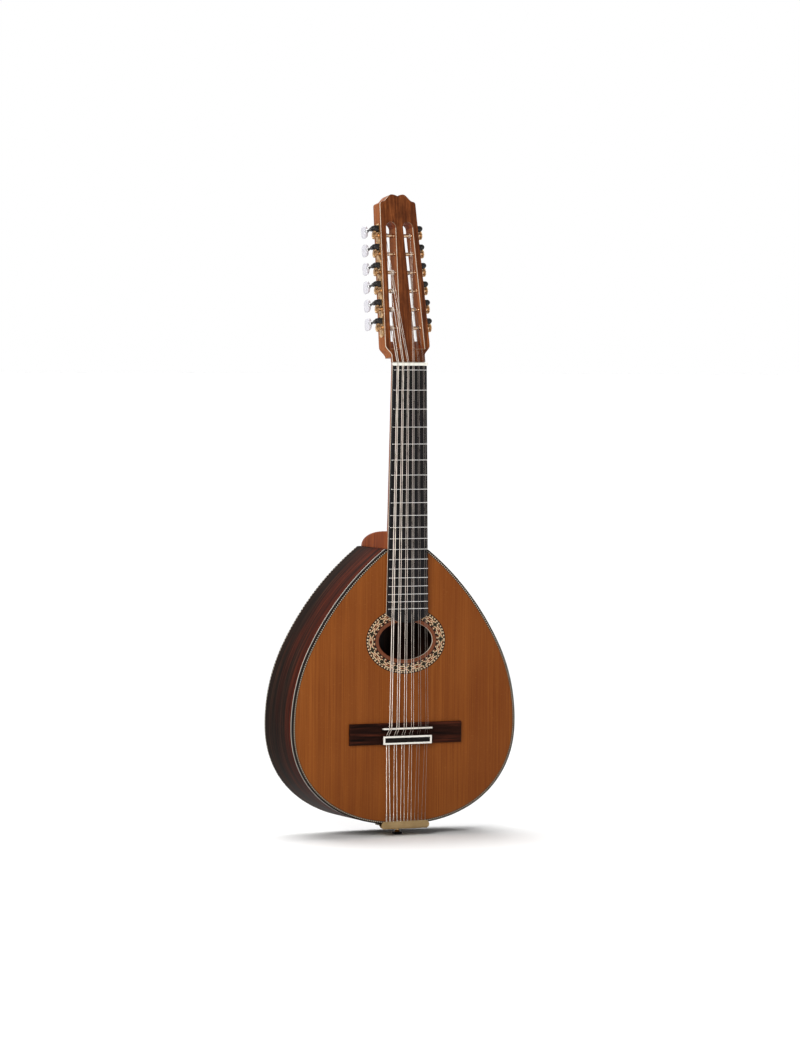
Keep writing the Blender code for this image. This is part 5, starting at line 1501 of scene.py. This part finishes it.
def make_saddle(looks):
    """The bone saddle, its crest rounded and falling away at each end."""
    half, reach = SADDLE_THICKNESS / 2, BRIDGE_BLOCK_WIDTH / 2 - SADDLE_INSET
    foot = -SADDLE_FLOOR - GAP
    ends = [(reach, 1.6), (reach - 0.15 * MM, 1.0), (reach - 0.6 * MM, 0.4), (reach - 1.4 * MM, 0.0)]
    rings = []
    for x, low in mirrored(ends):
        ring = [(x, foot, -SADDLE_DOWN - half)]
        for part in [-1 + i / 6 for i in range(13)]:
            height = SADDLE_CREST - SADDLE_ROUNDING * part * part - low * MM
            ring.append((x, -height, -SADDLE_DOWN + half * part))
        rings.append(ring + [(x, foot, -SADDLE_DOWN + half)])
    seat(loft("saddle_bone", rings, looks["polished_bone"]), "instrument", "bone", "saddle")


def make_tie_block_frame(looks):
    """The bone border on the tie block, and the dark inlay inside it."""
    half, strip = BRIDGE_BLOCK_WIDTH / 2 - FRAME_INSET, FRAME_STRIP
    low = FRAME_LEDGE - BRIDGE_DOWN - BRIDGE_LENGTH
    high = TIE_BLOCK_LENGTH - BRIDGE_DOWN - BRIDGE_LENGTH - FRAME_LEDGE
    start = -TIE_BLOCK_HEIGHT
    top = start - FRAME_THICKNESS - GAP
    edge = 0.35 * MM
    lip = [(0, top + edge), (edge * 0.3, top + edge * 0.3), (edge, top)]
    inner_lip = [(strip - inset, depth) for inset, depth in reversed(lip)]
    levels = [(0, start)] + lip + inner_lip + [(strip, start)]

    def corners(inset):
        right, bottom, above = half - inset, low + inset, high - inset
        return [(-right, bottom), (right, bottom), (right, above), (-right, above)]

    rings = [at_depths([(corners(inset)[i], depth) for inset, depth in levels]) for i in range(4)]
    border = loft("tie_block_border", rings, looks["polished_bone"], closed=True)
    seat(border, "instrument", "bone", "tie_block_frame")
    rings = plate_rings(corners(strip), start - 0.7 * MM, start + 0.1 * MM, 0.1 * MM)
    seat(loft("tie_block_inlay", rings, looks["black_binding"]), "instrument", "dark_rosewood")


def tailpiece_rows():
    """The sheet's rows from its top edge, round the lip and the hood, to the end of the flange.

    Each has the outer face's depth and place down, the inner face's, and the half width.
    """
    front, sheet, corner, base = -TAILPIECE_PROUD, TAILPIECE_SHEET, TAILPIECE_CORNER, FLANGE_BOTTOM
    lip_end = base - sheet
    half, narrow = TAILPIECE_WIDTH / 2, FLANGE_WIDTH / 2
    rows = []
    for turn in [math.pi / 2 * i / 6 for i in range(7)]:
        down = TAILPIECE_TOP + (lip_end - TAILPIECE_TOP) * (1 - math.cos(turn))
        rows.append((front, down, front + sheet, down, half - corner * (1 - math.sin(turn))))
    for turn in [math.pi / 2 * i / 10 for i in range(1, 11)]:
        bend = sheet * (1 - math.cos(turn))
        outer = lip_end + TAILPIECE_DROP * math.sin(turn)
        inner = lip_end + (TAILPIECE_DROP - sheet) * math.sin(turn)
        width = half - corner * (1 - math.cos(turn)) * 0.9
        rows.append((front + 2 * bend, outer, front + sheet + bend, inner, width))
    hood = half - corner * 0.9
    reach = HOOD_DEPTH - front - 2 * sheet
    for turn in [math.pi / 24 * i for i in range(1, 13)]:
        depth = front + 2 * sheet + reach * math.sin(turn)
        down = base + (TAILPIECE_DROP - sheet) * math.cos(turn)
        slant = sheet * (1 + HOOD_SLANT * math.sin(2 * turn))
        rows.append((depth, down, depth, down - slant, hood))
    end = PIN_DEPTH + PIN_HEAD_RADIUS + FLANGE_PAST_HEAD
    flange = [
        (end - 4 * MM, hood),
        (end, hood - 2 * MM),
        (end + FLANGE_PAST_HEAD, narrow + 3 * MM),
        (end + 2 * FLANGE_PAST_HEAD, narrow),
        (FLANGE_DEPTH - 4 * MM, narrow),
        (FLANGE_DEPTH - 1.2 * MM, narrow - 1.2 * MM),
        (FLANGE_DEPTH, narrow - 4 * MM),
    ]
    return rows + [(depth, base, depth, base - sheet, width) for depth, width in flange]


def tailpiece_screw(across):
    """Rings of the domed head of a screw in the flange, facing down."""
    dome = [(0, 2.6), (0.5, 2.6), (0.9, 2.0), (1.1, 1.0), (1.15, 0.2)]

    def spot(a, b, height):
        return (across + a * MM, TAILPIECE_SCREW_DEPTH + b * MM, -FLANGE_BOTTOM - height * MM)

    return turned(dome, 24, spot)


def make_tailpiece(looks):
    """The brass tailpiece with its rounded lip and hood, and the two screws in its flange."""
    rings = []
    for outer, outer_down, inner, inner_down, width in tailpiece_rows():
        eased = width - FINE_EASING
        ring = [(x, outer, -outer_down) for x in (-width, -eased, eased, width)]
        rings.append(ring + [(x, inner, -inner_down) for x in (width, -width)])
    piece = loft("tailpiece_sheet", rings, looks["tailpiece"], sharp=40)
    seat(piece, "instrument", "tailpiece_brass", "tailpiece")

    screws = [tailpiece_screw(side * TAILPIECE_SCREW_ACROSS) for side in (-1, 1)]
    pair = lofts("tailpiece_screws", screws, looks["turned_steel"])
    seat(pair, "instrument", "tailpiece_brass")


def make_end_pin(looks):
    """The end pin: a turned brass stem and its ebony head."""
    tip = TAIL_DOWN + PIN_DROP
    collar, head = FLANGE_BOTTOM + GAP, tip - PIN_HEAD_LENGTH
    stem = [
        (TAIL_DOWN - BLOCK_THICKNESS, PIN_INNER_RADIUS),
        (FLANGE_BOTTOM - TAILPIECE_SHEET, PIN_RADIUS - 0.1 * MM),
        (collar, PIN_RADIUS + 1.2 * MM),
        (collar + 1.0 * MM, PIN_RADIUS + 1.2 * MM),
        (collar + 1.5 * MM, PIN_RADIUS - 0.1 * MM),
        (collar + 4.0 * MM, PIN_RADIUS - 0.7 * MM),
        (head - 2.5 * MM, PIN_RADIUS - 0.6 * MM),
        (head - 0.8 * MM, PIN_RADIUS + 0.6 * MM),
        (head + 0.4 * MM, PIN_RADIUS + 2.4 * MM),
    ]
    disc = [
        (head - 0.2 * MM, PIN_RADIUS + 0.4 * MM),
        (head + 0.1 * MM, PIN_HEAD_RADIUS - 1.8 * MM),
        (head + 0.6 * MM, PIN_HEAD_RADIUS - 0.4 * MM),
        (head + 1.2 * MM, PIN_HEAD_RADIUS),
        (tip - PIN_HEAD_BEVEL, PIN_HEAD_RADIUS),
        (tip - 0.9 * MM, PIN_HEAD_RADIUS - 0.4 * MM),
        (tip - 0.3 * MM, PIN_TIP_RADIUS + 0.5 * MM),
        (tip, PIN_TIP_RADIUS - 1.0 * MM),
        (tip, 1.0 * MM),
    ]

    def spot(a, b, down):
        return (a, PIN_DEPTH + b, -down)

    piece = loft("end_pin_stem", turned(stem, 40, spot), looks["gilt"])
    seat(piece, "instrument", "tailpiece_brass", "end_pin")
    piece = loft("end_pin_head", turned(disc, 40, spot), looks["ebony"])
    seat(piece, "instrument", "ebony", "end_pin")


def side_point(side, out, depth, along):
    """A place in a side's frame, given in the head's frame."""
    across = HEAD_WIDE_HALF + out * math.cos(SIDE_TAPER) - along * math.sin(SIDE_TAPER)
    up = HEAD_WIDE_UP + out * math.sin(SIDE_TAPER) + along * math.cos(SIDE_TAPER)
    return (side * across, depth, up)


def winding(side, index, radius, arrival):
    """The string's turns round its roller from where it first touches, as places in the head's frame."""
    along = roller_along(index)
    reach = ROLLER_WAIST + radius
    _, depth, up = side_point(side, WINDING_OUT[index], ROLLER_DEPTH, along)
    rise, back = up - arrival[2], depth - arrival[1]
    start = math.atan2(back, rise) - math.asin(reach / math.hypot(rise, back))
    points = []
    for turns in [i / LOOP_POINTS for i in range(round(STRING_TURNS * LOOP_POINTS) + 1)]:
        out = WINDING_OUT[index] - (2 * radius + TURN_GAP) * turns
        angle = start + 2 * math.pi * turns
        depth = ROLLER_DEPTH - reach * math.cos(angle)
        points.append(side_point(side, out, depth, along + reach * math.sin(angle)))
    return points


def rounded(route, radius, steps=5):
    """A route of straight runs with its corners turned into short bends."""
    places = [Vector(point) for point in route]
    made = [places[0]]
    for before, here, after in zip(places, places[1:], places[2:]):
        back, on = before - here, after - here
        reach = min(radius, back.length * 0.45, on.length * 0.45)
        first, last = here + back.normalized() * reach, here + on.normalized() * reach
        for t in [i / steps for i in range(steps + 1)]:
            made.append(first * (1 - t) ** 2 + here * 2 * t * (1 - t) + last * t * t)
    return made + [places[-1]]


def wire_piece(name, routes, radius, look):
    """One or more tubes along routes of points."""
    curve = bpy.data.curves.new(name, "CURVE")
    curve.dimensions = "3D"
    curve.bevel_depth = radius
    curve.bevel_resolution = 3
    curve.use_fill_caps = True
    for route in routes:
        spline = curve.splines.new("POLY")
        spline.points.add(len(route) - 1)
        for point, spot in zip(spline.points, route):
            point.co = (*spot, 1)
        spline.use_smooth = True
    curve.materials.append(look)
    return added(name, curve, DRAWING)


def string_end(hook, towards, radius, core):
    """A string's lower end, as two routes: the wire wrapped back round it, and the eye on its hook."""
    along = (Vector(towards) - Vector(hook)).normalized()
    across = along.cross(Vector((0, 1, 0))).normalized()
    square = across.cross(along)
    wrap = []
    for turns in [i / WRAP_POINTS for i in range(WRAP_POINTS * WRAP_TURNS + 1)]:
        angle = 2 * math.pi * turns
        out = (across * math.cos(angle) + square * math.sin(angle)) * (radius + core)
        wrap.append(Vector(hook) + along * (1.0 * MM + 0.9 * MM * turns) + out)
    eye = []
    for angle in [2 * math.pi * i / 24 for i in range(25)]:
        spread = EYE_WIDTH / 2 * math.sin(angle) * (1 + math.cos(angle)) / 2
        eye.append(Vector(hook) + Vector((spread, 0, -EYE_LENGTH * (1 - math.cos(angle)) / 2)))
    return [wrap, eye]


def make_strings(looks):
    """Twelve strings, each from its loop on the tailpiece through the tie block to its roller."""
    ties = pair_places(TIE_COURSE_SPACING, TIE_PAIR_SPACING)
    saddles = pair_places(SADDLE_COURSE_SPACING, SADDLE_PAIR_SPACING)
    nuts = pair_places(NUT_COURSE_SPACING, NUT_PAIR_SPACING)
    tail_end = BRIDGE_DOWN + BRIDGE_LENGTH
    for i in range(STRINGS):
        radius = COURSE_GAUGES[i // 2] / 2
        side, machine = (-1, i) if i < COURSES else (1, STRINGS - 1 - i)
        above_fret = -FRET_TOP - radius
        across = (i - (STRINGS - 1) / 2) * HOOK_SPACING
        hook = (across, -TAILPIECE_PROUD - radius - 0.1 * MM, -TAILPIECE_TOP + 2.2 * MM)
        route = [
            hook,
            (ties[i], -TIE_HOLE_HEIGHT, -tail_end - PAST_FACE),
            (ties[i], -TIE_HOLE_HEIGHT, -tail_end + TIE_BLOCK_LENGTH + PAST_FACE),
            (saddles[i], -SADDLE_CREST - radius, -SADDLE_DOWN),
            (nuts[i], above_fret, 0),
            (nuts[i], above_fret, NUT_TOP_UP + PAST_NUT),
        ]
        deep = above_fret - HEAD_FACE_DEPTH
        arrival = (
            nuts[i],
            deep * math.cos(HEAD_TILT) - PAST_NUT * math.sin(HEAD_TILT),
            deep * math.sin(HEAD_TILT) + PAST_NUT * math.cos(HEAD_TILT),
        )
        turns = [head_point(*point) for point in winding(side, machine, radius, arrival)]
        path = rounded(route + turns[:1], STRING_BEND) + [Vector(point) for point in turns[1:]]
        slot = "bronze_string" if i < COURSES else "steel_string"
        look = looks["wound_wire" if i < 2 * WOUND_COURSES else "plain_wire"]
        piece = wire_piece("string_wire_%02d" % (i + 1), [path], radius, look)
        seat(piece, "instrument", slot, "string_%02d" % (i + 1))

        core = max(0.16 * MM, radius * 0.55)
        piece = wire_piece("string_loop_%02d" % (i + 1), string_end(hook, route[1], radius, core), core, look)
        seat(piece, "instrument", slot)


def dress_cad(looks):
    """Materials for the CAD pieces that stay: the inside of the box."""
    dressing = {
        "front_lining": "inner",
        "back_lining": "inner",
        "top_brace": "inner",
        "neck_block": "mahogany",
        "tail_block": "mahogany",
    }
    for node, look in dressing.items():
        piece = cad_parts[node]
        piece.data.materials.clear()
        piece.data.materials.append(looks[look])


def make_camera():
    """The photograph's camera: far off, to the left of the front and a little above the nut."""
    camera = added("camera", bpy.data.cameras.new("camera"))
    camera.data.sensor_width = SENSOR_SIZE
    camera.data.lens = FOCAL_PIXELS / PICTURE_HEIGHT * SENSOR_SIZE
    camera.data.clip_start = 0.1
    camera.data.clip_end = 100
    level = CAMERA_DISTANCE * math.cos(CAMERA_ELEVATION)
    away = Vector((-level * math.sin(CAMERA_YAW), -level * math.cos(CAMERA_YAW), 0))
    away.z = CAMERA_DISTANCE * math.sin(CAMERA_ELEVATION)
    camera.location = Vector(CAMERA_AIM) + away
    turn = math.atan((THROAT_PIXEL[0] - PICTURE_CENTRE[0]) / FOCAL_PIXELS)
    pitch = CAMERA_ELEVATION + math.atan((PICTURE_CENTRE[1] - THROAT_PIXEL[1]) / FOCAL_PIXELS)
    camera.rotation_euler = (math.pi / 2 - pitch, CAMERA_ROLL, turn - CAMERA_YAW)
    bpy.context.scene.camera = camera


def seen_directly(tree, glossy=None):
    """A factor of 1 for camera and transmission rays, and of glossy, or 1, for glossy ones: a plain white."""
    path = node(tree, "LightPath", "Is Camera Ray").node
    gloss = path.outputs["Is Glossy Ray"]
    if glossy:
        gloss = node(tree, "Math", "Value", {0: gloss, 1: glossy}, operation="MULTIPLY")
    seen = path.outputs["Is Camera Ray"]
    for ray in (path.outputs["Is Transmission Ray"], gloss):
        seen = node(tree, "Math", "Value", {0: seen, 1: ray}, operation="MAXIMUM")
    return seen


def make_world():
    """White where it is seen, greyer in gloss towards the studio's front, and a soft light elsewhere."""
    world = bpy.data.worlds.new("studio")
    bpy.context.scene.world = world
    world.use_nodes = True
    tree = world.node_tree
    background = tree.nodes["Background"]
    background.inputs["Color"].default_value = (1, 1, 1, 1)
    depth = node(tree, "SeparateXYZ", "Y", {"Vector": node(tree, "TexCoord", "Generated")})
    inputs = {"Value": depth, "From Min": -0.5, "From Max": 0.3, "To Min": FRONT_GLOSS}
    gloss = node(tree, "MapRange", "Result", inputs, interpolation_type="SMOOTHSTEP")
    inputs = {"Value": seen_directly(tree, gloss), "To Min": WORLD_LIGHT, "To Max": 1.0}
    tree.links.new(node(tree, "MapRange", "Result", inputs), background.inputs["Strength"])


def make_floor():
    """A pale floor under the pin's tip that shows as white but keeps the object's shadow."""
    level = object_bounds()[0].z - FLOOR_BELOW
    corners = [(x * FLOOR_REACH, y * FLOOR_REACH, level) for x, y in ((-1, -1), (1, -1), (1, 1), (-1, 1))]
    mesh = bpy.data.meshes.new("floor")
    mesh.from_pydata(corners, [], [(0, 1, 2, 3)])
    floor = added("floor", mesh)
    look = Finish("floor", 1.0, specular=0.0, coat_roughness=0.03)
    inputs = {0: seen_directly(look.tree), 6: (*FLOOR_BOUNCE, 1), 7: (*FLOOR_WHITE, 1)}
    mesh.materials.append(look.done(node(look.tree, "Mix", 2, inputs, data_type="RGBA")))


def area_light(name, power, size, spot, target, colour=(1, 1, 1)):
    """A soft square lamp that faces a place."""
    lamp = bpy.data.lights.new(name, "AREA")
    lamp.energy = power
    lamp.size = size
    lamp.color = colour
    made = added(name, lamp)
    made.location = spot
    made.rotation_euler = (Vector(target) - Vector(spot)).to_track_quat("-Z", "Y").to_euler()


def make_lights():
    """A soft key from the upper left, a weak fill from the right, and an even light from overhead."""
    area_light("key", KEY_POWER, 0.9, (-1.3, -1.3, 0.35), LIGHTS_AIM, KEY_COLOUR)
    area_light("fill", FILL_POWER, 1.6, (2.0, -2.2, 0.1), LIGHTS_AIM)
    lamp = bpy.data.lights.new("overhead", "SUN")
    lamp.energy = OVERHEAD_POWER
    lamp.angle = OVERHEAD_SPREAD
    added("overhead", lamp).rotation_euler = (OVERHEAD_TILT, 0, 0)


def main():
    """Makes every piece, then the studio round them."""
    bpy.context.scene.view_settings.view_transform = "Standard"
    looks = make_looks()
    make_camera()
    make_soundboard(looks)
    make_rosette(looks)
    make_edges(looks)
    make_sides(looks)
    make_back(looks)
    make_fingerboard(looks)
    make_nut(looks)
    make_neck(looks)
    make_head(looks)
    make_machines(looks)
    make_bridge(looks)
    make_saddle(looks)
    make_tie_block_frame(looks)
    make_tailpiece(looks)
    make_end_pin(looks)
    make_strings(looks)
    dress_cad(looks)
    make_world()
    make_floor()
    make_lights()


main()
